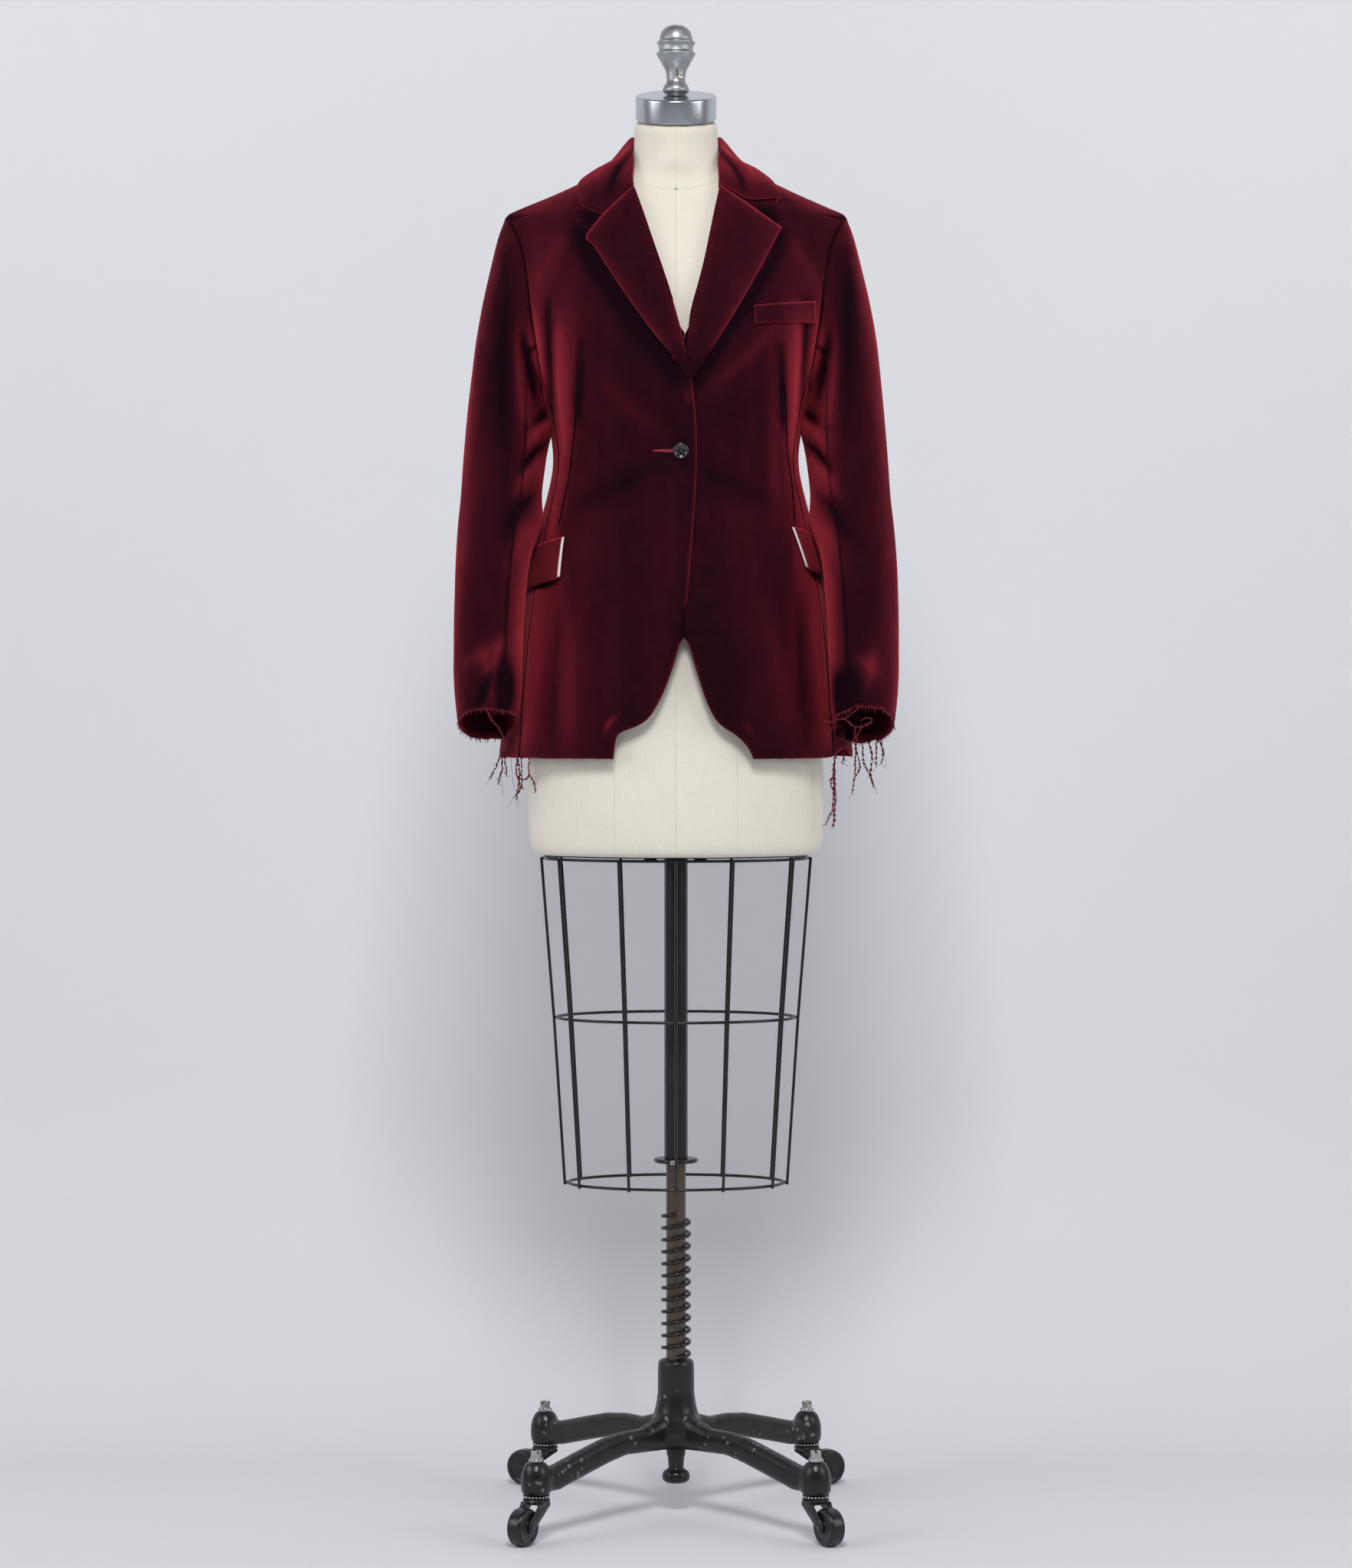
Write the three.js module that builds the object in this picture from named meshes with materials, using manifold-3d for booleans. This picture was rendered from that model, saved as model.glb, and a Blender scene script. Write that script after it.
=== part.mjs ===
/**
 * Velvet hacking jacket on a limbless dress form with a cage skirt and a castered iron stand.
 *
 * Millimetres, +Z up. The origin is on the floor under the pole. The front faces -Y and +X is the
 * wearer's left, so pieces are named left and right as the wearer has them.
 */
import * as THREE from 'three';
import Module from 'manifold-3d';
import { mergeVertices } from 'three/addons/utils/BufferGeometryUtils.js';

const wasm = await Module();
wasm.setup();

const { sin, cos, tan, sqrt, min, max, PI } = Math;
const DEGREE = PI / 180;
const QUARTER = PI / 2;

// ---------------------------------------------------------------- driving dimensions: jacket
const VELVET = 2.0; // pile cotton velvet with its backing
const SEAM = 0.3; // open line between two sewn pieces
const LAYER = 0.8; // air between two cloths that lie on each other
const HEM = 907; // height of the hem
const SHOULDER_TIP = 1551;
const NECK_TOP = 1609; // top of the neckline beside the neck

// Horizontal sections of the jacket body, outside face.
const JACKET = [
  { z: 905, wide: 214, front: 164, back: 124, middle: 24, full: 0 },
  { z: 950, wide: 208, front: 160, back: 121, middle: 23, full: 0 },
  { z: 1000, wide: 201, front: 154, back: 121, middle: 20, full: 0 },
  { z: 1050, wide: 193, front: 146, back: 120, middle: 16, full: 0 },
  { z: 1100, wide: 183, front: 136, back: 117, middle: 11, full: 0.02 },
  { z: 1150, wide: 173, front: 125, back: 110, middle: 6, full: 0.05 },
  { z: 1200, wide: 159, front: 115, back: 98, middle: 3, full: 0.08 },
  { z: 1258, wide: 144, front: 108, back: 88, middle: 0, full: 0.12 },
  { z: 1285, wide: 148, front: 112, back: 91, middle: 0, full: 0.15 },
  { z: 1315, wide: 155, front: 121, back: 97, middle: 0, full: 0.18 },
  { z: 1341, wide: 160, front: 129, back: 102, middle: 0, full: 0.2 },
  { z: 1380, wide: 170, front: 133, back: 108, middle: 0, full: 0.22 },
  { z: 1420, wide: 183, front: 125, back: 108, middle: 0, full: 0.22 },
  { z: 1460, wide: 195, front: 110, back: 104, middle: 0, full: 0.2 },
  { z: 1500, wide: 203, front: 92, back: 95, middle: 0, full: 0.18 },
  { z: 1530, wide: 206, front: 78, back: 84, middle: 0, full: 0.15 },
  { z: 1551, wide: 204, front: 68, back: 75, middle: 0, full: 0.12 },
  { z: 1564, wide: 172, front: 64, back: 71, middle: 0, full: 0.1 },
  { z: 1578, wide: 140, front: 61, back: 67, middle: 0, full: 0.1 },
  { z: 1592, wide: 109, front: 58, back: 63, middle: 0, full: 0.1 },
  { z: 1602, wide: 87, front: 56, back: 60, middle: 0, full: 0.1 },
  { z: 1609, wide: 69, front: 55, back: 58, middle: 0, full: 0.1 },
];

// Heights of the rows of points on the fronts and on the backs.
const PANEL_COLUMNS = { front: 7, back: 6, side: 6 };
const FRONT_ROWS = [
  HEM, 922, 937, 941, 946, 953, 963, 980, 1003, 1032, 1062, 1100, 1140, 1180, 1218, 1258, 1298,
  1338, 1378, 1412, 1446, 1480, 1510, 1532, 1545, SHOULDER_TIP, 1564, 1579, 1593, 1602, NECK_TOP,
];
const BACK_ROWS = [
  HEM, 950, 1000, 1050, 1100, 1140, 1180, 1218, 1258, 1298, 1338, 1378, 1412, 1446, 1480, 1510,
  1532, 1545, SHOULDER_TIP, 1564, 1579, 1593, 1602, NECK_TOP,
];

// Front edges, x towards the wearer's own side: cutaway, closed edge, then the roll of the lapel.
const LAPPING_EDGE = [
  { z: HEM, x: 73 }, { z: 938, x: 69 }, { z: 940, x: 60 }, { z: 944, x: 48 }, { z: 950, x: 36 },
  { z: 958, x: 29 }, { z: 970, x: 21 }, { z: 986, x: 13.5 }, { z: 1004, x: 6.5 },
  { z: 1025, x: 0 }, { z: 1045, x: -5.5 }, { z: 1067, x: -10.5 }, { z: 1132, x: -16.5 },
  { z: 1205, x: -22 }, { z: 1242, x: -24.5 }, { z: 1292, x: -23.5 }, { z: 1352, x: -14 },
  { z: 1398, x: -6.7 }, { z: 1453, x: 7.6 }, { z: 1507, x: 25.6 }, { z: 1555, x: 41 },
  { z: 1581, x: 50 }, { z: 1595, x: 57 }, { z: NECK_TOP, x: 65 },
];
const LAPPED_EDGE = [
  { z: HEM, x: 90.5 }, { z: 934, x: 78 }, { z: 937, x: 68 }, { z: 943, x: 57 }, { z: 953, x: 46 },
  { z: 968, x: 38 }, { z: 986, x: 31 }, { z: 1004, x: 25.5 }, { z: 1022, x: 20 },
  { z: 1040, x: 15 }, { z: 1057, x: 10.5 }, { z: 1080, x: 4 }, { z: 1132, x: -4 },
  { z: 1205, x: -6 }, { z: 1292, x: -6 }, { z: 1352, x: -2 }, { z: 1376, x: 5 },
  { z: 1398, x: 12 }, { z: 1417, x: 14 }, { z: 1453, x: 24.7 }, { z: 1489, x: 33.8 },
  { z: 1540, x: 43.7 }, { z: 1581, x: 52 }, { z: 1595, x: 58 }, { z: NECK_TOP, x: 65 },
];
const LAP = { lift: 3.2, full: 10, ease: 58, bottom: 1000, closed: 1058, open: 1394, top: 1450 };

// Armhole: an oval in side view, its join with the side body, and the side seams at the hem.
const ARMHOLE = { z: 1446, tall: 105, front: 59, back: 62, seamTop: 1378 };
const SIDE_SEAM_AT_HEM = { front: -30 * DEGREE, back: 32 * DEGREE };

// Sleeve rings from the cuff up: outer and inner edge seen from the front, centre y and half depth.
const CUFF_SLANT = { right: 19, left: 22 };
const SLEEVE = [
  { outX: 258, outZ: 947, inX: 183, inZ: 947, y: -84, deep: 43 },
  { outX: 262, outZ: 1003, inX: 180, inZ: 1003, y: -79, deep: 46 },
  { outX: 263, outZ: 1060, inX: 177, inZ: 1060, y: -71, deep: 48 },
  { outX: 262, outZ: 1118, inX: 173, inZ: 1118, y: -61, deep: 51 },
  { outX: 259, outZ: 1178, inX: 167, inZ: 1176, y: -44, deep: 53 },
  { outX: 255.5, outZ: 1232, inX: 158, inZ: 1222, y: -27, deep: 55 },
  { outX: 251.5, outZ: 1288, inX: 154, inZ: 1254, y: -13, deep: 57 },
  { outX: 246, outZ: 1348, inX: 157, inZ: 1280, y: -6, deep: 59 },
  { outX: 239, outZ: 1405, inX: 161.5, inZ: 1300, y: -2, deep: 60 },
  { outX: 230, outZ: 1455, inX: 164.5, inZ: 1315, y: 0, deep: 61 },
  { outX: 220, outZ: 1497, inX: 166.5, inZ: 1326, y: 1, deep: 61 },
  { outX: 212, outZ: 1532, inX: 166, inZ: 1335, y: 1.5, deep: 60.5 },
];
const SLEEVE_HEAD_GAP = 0.8; // the sleeve head stands just outside the armhole edge
const TOP_SLEEVE = { from: -120 * DEGREE, to: 120 * DEGREE, columns: 10 };
const UNDER_SLEEVE_COLUMNS = 5;
const SLEEVE_SEAM = 0.005; // half the open line between the two sleeve pieces, in radians

// Lapels: notch corner, point and foot, as x towards the own side and z.
const LAPEL_ROWS = 8;
const LAPEL_COLUMNS = 5;
const LAPEL_RIGHT = {
  foot: 1353, footWide: 2.5, notchX: 86.5, notchZ: 1548, tipX: 104.5, tipZ: 1521, belly: 3,
};
const LAPEL_LEFT = {
  foot: 1352, footWide: 3.0, notchX: 85, notchZ: 1560, tipX: 124, tipZ: 1530, belly: 3,
};
const GORGE_TOP = 1580;
const LAPEL_SHAPE = { swell: 2.2, rollGap: 0.2, notchGap: 1.5, notchFrom: 6 };
// The lapping front's edge covers the rest of the left lapel's foot.
const LEFT_LAPEL_SHOWS = { from: 17, slope: 0.16 };

// Collar from centre back (turn 0) to the gorge (turn 1): fold line, then the fall's outer edge.
const COLLAR = [
  { turn: 0, foldX: 0, foldY: 71, foldZ: 1650, edgeAngle: 90, edgeZ: 1597 },
  { turn: 0.25, foldX: 35, foldY: 60, foldZ: 1650, edgeAngle: 62, edgeZ: 1597 },
  { turn: 0.5, foldX: 55, foldY: 26, foldZ: 1649, edgeAngle: 24, edgeZ: 1596 },
  { turn: 0.7, foldX: 55.6, foldY: -10, foldZ: 1637, edgeAngle: -8, edgeZ: 1591 },
  { turn: 0.85, foldX: 51, foldY: -41, foldZ: 1612, edgeAngle: -30, edgeZ: 1580 },
  { turn: 1, foldX: 50.5, foldY: -56, foldZ: 1583, edgeAngle: -48, edgeZ: 1562 },
];
const COLLAR_TIP = { right: { x: 112, z: 1559 }, left: { x: 122, z: 1565 } };
const COLLAR_TURNS = [0, 0.13, 0.25, 0.38, 0.5, 0.62, 0.74, 0.83, 0.9, 0.95, 1];
const COLLAR_COLUMNS = 5;
const COLLAR_EASE = 2.2; // how far the fall stands off the shoulders
// Bulge of the fall, its lean outward, and where along it the tip and the notch's corner begin.
const COLLAR_SHAPE = {
  bulge: 1, rise: 0.8, tipFrom: 0.8, cornerAt: 0.6, foldLean: 0.25, edgeLean: 1.6, tipLean: 0.6,
};
const COLLAR_STAND = { drop: 3, neckGap: 1.6 };
const STAND_TURNS = [0, 0.16, 0.33, 0.5, 0.62, 0.72];

// Pockets, as x towards the own side and z.
const WELT = {
  innerX: 91, innerZ: 1413.5, outerX: 163, outerZ: 1419, innerTall: 22, outerTall: 25, columns: 4,
};
const FLAP = { back: 8 * DEGREE, slope: 0.2, tall: 50, flare: 3.5, cloth: 1.6, columns: 6, rows: 2 };
// Each flap's front edge: x at its top, its height, and how far it sweeps back below.
const FLAP_FRONT = {
  right: { frontX: 133, topZ: 1167, sweep: -5 },
  left: { frontX: 138, topZ: 1179, sweep: 4 },
};
const FLAP_LINING = { cloth: 0.8, proud: 2.2, inset: 3 };

const BUTTON = {
  x: 5.5, z: 1267, radius: 9.5, thick: 3.4, rim: 1.0, hole: 1.0, pitch: 2.4, shank: 1.2,
};
// Loose threads: their reach along the right hem, and round and below the left cuff, in degrees.
const FRINGE = {
  thick: 3, rightFrom: -35, rightTo: -7, rightLow: 842, leftFrom: 188, leftTo: 318, leftLow: 824,
  leftHigh: 888, gap: 1, columns: 6,
};

// ---------------------------------------------------------------- driving dimensions: dress form
// Horizontal sections of the canvas torso.
const TORSO = [
  { z: 794, wide: 163, front: 108, back: 112, middle: 0, full: 0.04 },
  { z: 797, wide: 171, front: 114, back: 119, middle: 0, full: 0.04 },
  { z: 804, wide: 176, front: 119, back: 124, middle: 0, full: 0.04 },
  { z: 850, wide: 177, front: 120, back: 127, middle: 0, full: 0.04 },
  { z: 900, wide: 176, front: 119, back: 127, middle: 0, full: 0.04 },
  { z: 960, wide: 172, front: 117, back: 124, middle: 0, full: 0.04 },
  { z: 1020, wide: 166, front: 114, back: 119, middle: 0, full: 0.04 },
  { z: 1080, wide: 157, front: 110, back: 110, middle: 0, full: 0.05 },
  { z: 1140, wide: 145, front: 105, back: 98, middle: 0, full: 0.06 },
  { z: 1200, wide: 131, front: 100, back: 86, middle: 0, full: 0.08 },
  { z: 1258, wide: 123, front: 97, back: 79, middle: 0, full: 0.1 },
  { z: 1310, wide: 133, front: 106, back: 85, middle: 0, full: 0.12 },
  { z: 1360, wide: 146, front: 121, back: 95, middle: 0, full: 0.14 },
  { z: 1400, wide: 158, front: 122, back: 100, middle: 0, full: 0.15 },
  { z: 1440, wide: 170, front: 112, back: 100, middle: 0, full: 0.15 },
  { z: 1480, wide: 180, front: 96, back: 94, middle: 0, full: 0.14 },
  { z: 1510, wide: 187, front: 82, back: 86, middle: 0, full: 0.12 },
  { z: 1534, wide: 191, front: 70, back: 76, middle: 0, full: 0.1 },
  { z: 1545, wide: 189, front: 65, back: 71, middle: 0, full: 0.08 },
  { z: 1553, wide: 179, front: 62, back: 68, middle: 0, full: 0.08 },
  { z: 1562, wide: 160, front: 60, back: 66, middle: 0, full: 0.08 },
  { z: 1574, wide: 132, front: 57, back: 63, middle: 0, full: 0.06 },
  { z: 1586, wide: 102, front: 54, back: 59, middle: 0, full: 0.05 },
  { z: 1596, wide: 76, front: 53, back: 56, middle: 0, full: 0.03 },
  { z: 1604, wide: 60, front: 54, back: 52, middle: -2, full: 0.01 },
  { z: 1614, wide: 52.5, front: 54, back: 49, middle: -4, full: 0 },
  { z: 1632, wide: 50, front: 50, back: 49, middle: -7, full: 0 },
  { z: 1650, wide: 49.2, front: 49.2, back: 48.7, middle: -10, full: 0 },
  { z: 1663.5, wide: 48.5, front: 48.5, back: 48.5, middle: -13, full: 0 },
];
const TORSO_COLUMNS = 24;
const NECK_TILT = 15 * DEGREE;
const NECK_TILT_FROM = 1596; // the sections lean forward from here up to the neck's top
const CAP = { radius: 48, tall: 28.5, edge: 1.5, seat: 0.3 };
const FINIAL_FOOT_GAP = 0.3;
// Turned knob: radius at each height.
const FINIAL = [
  [0, 1774.7], [9, 1773.4], [15, 1769.6], [19.3, 1759.5], [22.7, 1753.6], [20.4, 1746], [23.2, 1740],
  [19.2, 1732.7], [15.4, 1726], [11.9, 1719], [11.2, 1708], [15.4, 1701.5], [16, 1697],
  [14.4, 1688], [0, 1688],
];

const BASE_PLATE = { wide: 160, deep: 104, top: 793.6, thick: 5 };
const CAGE_WIRE = 1.8;
// Hoops of the cage skirt: height, half width and half depth.
const HOOPS = [
  { name: 'cage_hoop_top', z: 786.4, wide: 157, deep: 100 },
  { name: 'cage_hoop_middle', z: 596, wide: 142, deep: 90 },
  { name: 'cage_hoop_low', z: 398, wide: 129, deep: 81 },
];
const CAGE_WIRE_ANGLES = [0, 30, 65, 90, 115, 150, 180, -150, -115, -90, -65, -30];
const HOOP_SEGMENTS = 32;

const TUBE = { outer: 14, inner: 12.1, top: 788.3, low: 424 };
const CLAMP_RING = { inner: 14.3, outer: 26.5, top: 427, thick: 5 };
const CLAMP_SCREW = { x: -4, radius: 3.3, length: 6 };

// ---------------------------------------------------------------- driving dimensions: iron stand
const ROD = { radius: 11.7, top: 700, low: 84 };
const SPRING = { wire: 2.25, mean: 16, low: 188.6, top: 361, turns: 12, steps: 8, sides: 4 };
// Turned middle of the casting: radius at each height.
const HUB = {
  top: 186,
  bore: 12.1,
  profile: [
    [0, 80], [18, 80], [28, 86], [31, 98], [29, 114], [24.5, 130], [22.4, 145], [22, 180],
    [20.5, 186], [0, 186],
  ],
};
const ROD_FOOT = { top: 83.7, shoulder: 11.7, neck: 8.7, flare: 16.8, low: 37 };
const LEG_REACH = { x: 162, y: 173 };
// Arched legs along their own direction: height of the middle, width and depth of the section.
const LEG = [
  { r: 12, z: 103, wide: 27, tall: 50 },
  { r: 34, z: 98, wide: 24, tall: 36 },
  { r: 60, z: 95, wide: 22, tall: 28 },
  { r: 90, z: 96, wide: 21, tall: 27 },
  { r: 122, z: 91.5, wide: 21, tall: 29 },
  { r: 162, z: 82, wide: 22, tall: 29 },
  { r: 206, z: 71, wide: 23, tall: 29 },
  { r: 237, z: 70, wide: 24, tall: 28 },
];
// Leg section corners as shares of its half width and half height.
const LEG_OUTLINE = [
  [1, 0.55], [0.55, 1], [-0.55, 1], [-1, 0.55], [-1, -0.55], [-0.55, -1], [0.55, -1], [1, -0.55],
];
const SOCKET = { radius: 18.5, low: 55, top: 93, bore: 5.4, boreTop: 90 };
const NUT = { radius: 9, seat: 93.3, top: 106 };
const CASTER = {
  trail: 29, axle: 22, wheel: 22, wheelWide: 20, bore: 3.4, axleRadius: 3, cheek: 2.6, race: 16,
  raceLow: 46.6, raceTop: 54.7, stem: 5, stemTop: 89, segments: 16, eye: 7, cheekBack: 10,
  cheekFront: 13, sideGap: 0.5,
};
const CASTERS = [
  { name: 'front_right', x: -1, y: -1, yaw: 239.6 },
  { name: 'front_left', x: 1, y: -1, yaw: -59.6 },
  { name: 'rear_right', x: -1, y: 1, yaw: 152 },
  { name: 'rear_left', x: 1, y: 1, yaw: 28 },
];

// ---------------------------------------------------------------- materials
const paint = (color, roughness, metalness = 0) =>
  new THREE.MeshStandardMaterial({ color, roughness, metalness });
const velvet = paint(0x4a0a14, 0.9);
const whiteLining = paint(0xe6e2dc, 0.8);
const canvas = paint(0xd9cdb4, 0.85);
const hornButton = paint(0x1a1a1e, 0.25);
const brushedSteel = paint(0x9a9da0, 0.3, 1);
const castAluminium = paint(0xa8aaac, 0.4, 1);
const blackEnamel = paint(0x101012, 0.4, 0.2);
const blackIron = paint(0x17181a, 0.5, 0.4);
const agedSteel = paint(0x4b4038, 0.45, 0.8);
const chrome = paint(0xb8babc, 0.2, 1);
const blackRubber = paint(0x0c0c0d, 0.6);

// ---------------------------------------------------------------- helpers: curves and tables
const lerp = (a, b, t) => a + (b - a) * t;
const clamp = (v, low, high) => min(max(v, low), high);
const smooth = (v) => {
  const t = clamp(v, 0, 1);
  return t * t * (3 - 2 * t);
};

/** Value of one column of a table between its rows, on a smooth curve that never overshoots. */
function column(rows, key, at, by = 'z') {
  const last = rows.length - 1;
  const place = clamp(at, rows[0][by], rows[last][by]);
  let i = 0;
  while (i < last - 1 && place > rows[i + 1][by]) i += 1;
  const step = (j) => (rows[j + 1][key] - rows[j][key]) / (rows[j + 1][by] - rows[j][by]);
  const slope = (j) => {
    if (j === 0) return step(0);
    if (j === last) return step(last - 1);
    const before = step(j - 1);
    const after = step(j);
    return before * after <= 0 ? 0 : (2 * before * after) / (before + after);
  };
  const wide = rows[i + 1][by] - rows[i][by];
  const t = (place - rows[i][by]) / wide;
  const rise = t * t * (3 - 2 * t);
  return (
    rows[i][key] * (1 - rise) + rows[i + 1][key] * rise +
    wide * (slope(i) * t * (1 - t) * (1 - t) - slope(i + 1) * t * t * (1 - t))
  );
}

/** Root of a rising or falling function between two values, by halving. */
function solve(low, high, f) {
  const rising = f(high) > f(low);
  let a = low;
  let b = high;
  for (let i = 0; i < 40; i += 1) {
    const mid = (a + b) / 2;
    if (f(mid) > 0 === rising) b = mid;
    else a = mid;
  }
  return (a + b) / 2;
}

/** Point of a section table at a height and angle: -90 degrees is the front, 0 the wearer's side. */
function sectionPoint(rows, z, angle) {
  const deep = column(rows, angle < 0 ? 'front' : 'back', z);
  const full = 1 + column(rows, 'full', z) * cos(angle) ** 2;
  return new THREE.Vector3(
    column(rows, 'wide', z) * cos(angle),
    column(rows, 'middle', z) + deep * sin(angle) * full,
    z,
  );
}

/** Point of the jacket body moved `out` along the surface's own normal. */
function jacketPoint(z, angle, out = 0) {
  const point = sectionPoint(JACKET, z, angle);
  const turn = 0.01;
  const rise = 1.5;
  const across = sectionPoint(JACKET, z, angle + turn).sub(sectionPoint(JACKET, z, angle - turn));
  const lowZ = max(z - rise, HEM);
  const highZ = min(z + rise, NECK_TOP);
  const up = sectionPoint(JACKET, highZ, angle).sub(sectionPoint(JACKET, lowZ, angle));
  return point.addScaledVector(across.cross(up).normalize(), out);
}

const angleAtX = (z, x) => -Math.acos(clamp(x / column(JACKET, 'wide', z), -1, 1));
const angleAtDepth = (z, y) =>
  solve(-QUARTER, QUARTER, (angle) => sectionPoint(JACKET, z, angle).y - y);

/** How far the lapping front stands out over the one below it. */
function lapLift(x, z) {
  const across = 1 - smooth((x - LAP.full) / (LAP.ease - LAP.full));
  const up = smooth((z - LAP.bottom) / (LAP.closed - LAP.bottom));
  const down = 1 - smooth((z - LAP.open) / (LAP.top - LAP.open));
  return LAP.lift * across * min(up, down);
}

/** Point on a front's face at x towards the wearer's own side, mirrored later for the right. */
function frontPoint(x, z, out, lapping) {
  const lift = lapping ? lapLift(x, z) : 0;
  return jacketPoint(z, angleAtX(z, x), out + lift);
}

// ---------------------------------------------------------------- helpers: solids
/** Geometry with shared corners only, so that it is one closed body. */
function closed(geometry) {
  const clean = geometry.clone();
  clean.deleteAttribute('normal');
  clean.deleteAttribute('uv');
  return mergeVertices(clean, 1e-4);
}

function geometryOf(points, faces) {
  const geometry = new THREE.BufferGeometry();
  const flat = points.flatMap((p) => [p.x, p.y, p.z]);
  geometry.setAttribute('position', new THREE.Float32BufferAttribute(flat, 3));
  const volume = faces.reduce((sum, [a, b, c]) => {
    return sum + points[a].dot(new THREE.Vector3().crossVectors(points[b], points[c]));
  }, 0);
  const outward = volume > 0 ? faces : faces.map(([a, b, c]) => [a, c, b]);
  geometry.setIndex(outward.flat());
  return geometry;
}

/** Closed wall between two equal grids of points. */
function wall(outer, inner) {
  const rows = outer.length;
  const columns = outer[0].length;
  const points = [...outer.flat(), ...inner.flat()];
  const at = (layer, i, j) => (layer * rows + i) * columns + j;
  const faces = [];
  const quad = (a, b, c, d) => faces.push([a, b, c], [a, c, d]);
  for (let i = 0; i < rows - 1; i += 1) {
    for (let j = 0; j < columns - 1; j += 1) {
      quad(at(0, i, j), at(0, i, j + 1), at(0, i + 1, j + 1), at(0, i + 1, j));
      quad(at(1, i, j), at(1, i + 1, j), at(1, i + 1, j + 1), at(1, i, j + 1));
    }
    const end = columns - 1;
    quad(at(0, i, 0), at(0, i + 1, 0), at(1, i + 1, 0), at(1, i, 0));
    quad(at(0, i + 1, end), at(0, i, end), at(1, i, end), at(1, i + 1, end));
  }
  for (let j = 0; j < columns - 1; j += 1) {
    const end = rows - 1;
    quad(at(0, 0, j + 1), at(0, 0, j), at(1, 0, j), at(1, 0, j + 1));
    quad(at(0, end, j), at(0, end, j + 1), at(1, end, j + 1), at(1, end, j));
  }
  return geometryOf(points, faces);
}

/** Closed solid through equal rings of points, with a flat fan at each end. */
function lofted(rings) {
  const count = rings[0].length;
  const centre = (ring) => ring.reduce((s, p) => s.add(p), new THREE.Vector3())
    .divideScalar(count);
  const points = [...rings.flat(), centre(rings[0]), centre(rings[rings.length - 1])];
  const low = points.length - 2;
  const faces = [];
  rings.forEach((ring, i) => {
    for (let j = 0; j < count; j += 1) {
      const next = (j + 1) % count;
      if (i === 0) faces.push([low, next, j]);
      if (i === rings.length - 1) {
        faces.push([low + 1, i * count + j, i * count + next]);
      } else {
        faces.push([i * count + j, i * count + next, (i + 1) * count + next]);
        faces.push([i * count + j, (i + 1) * count + next, (i + 1) * count + j]);
      }
    }
  });
  return geometryOf(points, faces);
}

/** Closed hoop of round wire on an upright-axis ellipse. */
function hoop(wide, deep, z, wire, segments, sides) {
  const points = [];
  const faces = [];
  for (let i = 0; i < segments; i += 1) {
    const a = (i / segments) * 2 * PI;
    const out = new THREE.Vector3(cos(a) / wide, sin(a) / deep, 0).normalize();
    for (let k = 0; k < sides; k += 1) {
      const b = (k / sides) * 2 * PI;
      const point = new THREE.Vector3(wide * cos(a), deep * sin(a), z + wire * sin(b));
      points.push(point.addScaledVector(out, wire * cos(b)));
      const next = ((i + 1) % segments) * sides;
      const side = (k + 1) % sides;
      faces.push([i * sides + k, next + k, next + side]);
      faces.push([i * sides + k, next + side, i * sides + side]);
    }
  }
  return geometryOf(points, faces);
}

/** Round bar along a curve, capped at both ends. */
function bar(curve, radius, steps, sides) {
  const section = new THREE.Shape();
  for (let k = 0; k < sides; k += 1) {
    const angle = (k / sides) * 2 * PI;
    const place = [radius * cos(angle), radius * sin(angle)];
    if (k === 0) section.moveTo(...place);
    else section.lineTo(...place);
  }
  section.closePath();
  return closed(new THREE.ExtrudeGeometry(section, { steps, extrudePath: curve }));
}

/** Turned solid about the upright axis from [radius, height] pairs. */
function turned(profile, segments, start = 0) {
  const points = profile.map(([radius, height]) => new THREE.Vector2(radius, height));
  const lathe = new THREE.LatheGeometry(points, segments, start);
  return closed(lathe);
}
const upright = (geometry) => geometry.rotateX(QUARTER);

function toSolid(geometry) {
  const clean = closed(geometry);
  return new wasm.Manifold(new wasm.Mesh({
    numProp: 3,
    vertProperties: new Float32Array(clean.attributes.position.array),
    triVerts: new Uint32Array(clean.index.array),
  }));
}

function fromSolid(solid) {
  const mesh = solid.getMesh();
  const geometry = new THREE.BufferGeometry();
  geometry.setAttribute('position', new THREE.BufferAttribute(mesh.vertProperties, 3));
  geometry.setIndex(new THREE.BufferAttribute(mesh.triVerts, 1));
  return geometry;
}

/** Turned geometry facing outward whichever way its profile runs. */
function outwardTurned(profile, segments, start = 0) {
  const geometry = upright(turned(profile, segments, start));
  const position = geometry.attributes.position;
  const points = [];
  for (let i = 0; i < position.count; i += 1) {
    points.push(new THREE.Vector3().fromBufferAttribute(position, i));
  }
  const faces = [];
  for (let i = 0; i < geometry.index.count; i += 3) {
    const face = [0, 1, 2].map((k) => geometry.index.getX(i + k));
    if (new Set(face).size === 3) faces.push(face);
  }
  return geometryOf(points, faces);
}

const object = new THREE.Group();
function add(name, geometry, material, parent = object) {
  const mesh = new THREE.Mesh(geometry, material);
  mesh.name = name;
  parent.add(mesh);
  return mesh;
}
const SIDES = [{ side: 'left', sign: 1 }, { side: 'right', sign: -1 }];
const mirrored = (grid, sign) => grid.map((row) => row.map((p) => {
  return new THREE.Vector3(p.x * sign, p.y, p.z);
}));
const clothWall = (outer, inner, sign) => wall(mirrored(outer, sign), mirrored(inner, sign));

// ---------------------------------------------------------------- jacket body
/** Oval armhole in side view: y at a height, on the front (-1) or the back (+1). */
function armholeDepth(z, towards) {
  const level = clamp((z - ARMHOLE.z) / ARMHOLE.tall, -1, 1);
  return towards * (towards < 0 ? ARMHOLE.front : ARMHOLE.back) * sqrt(1 - level * level);
}

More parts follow.
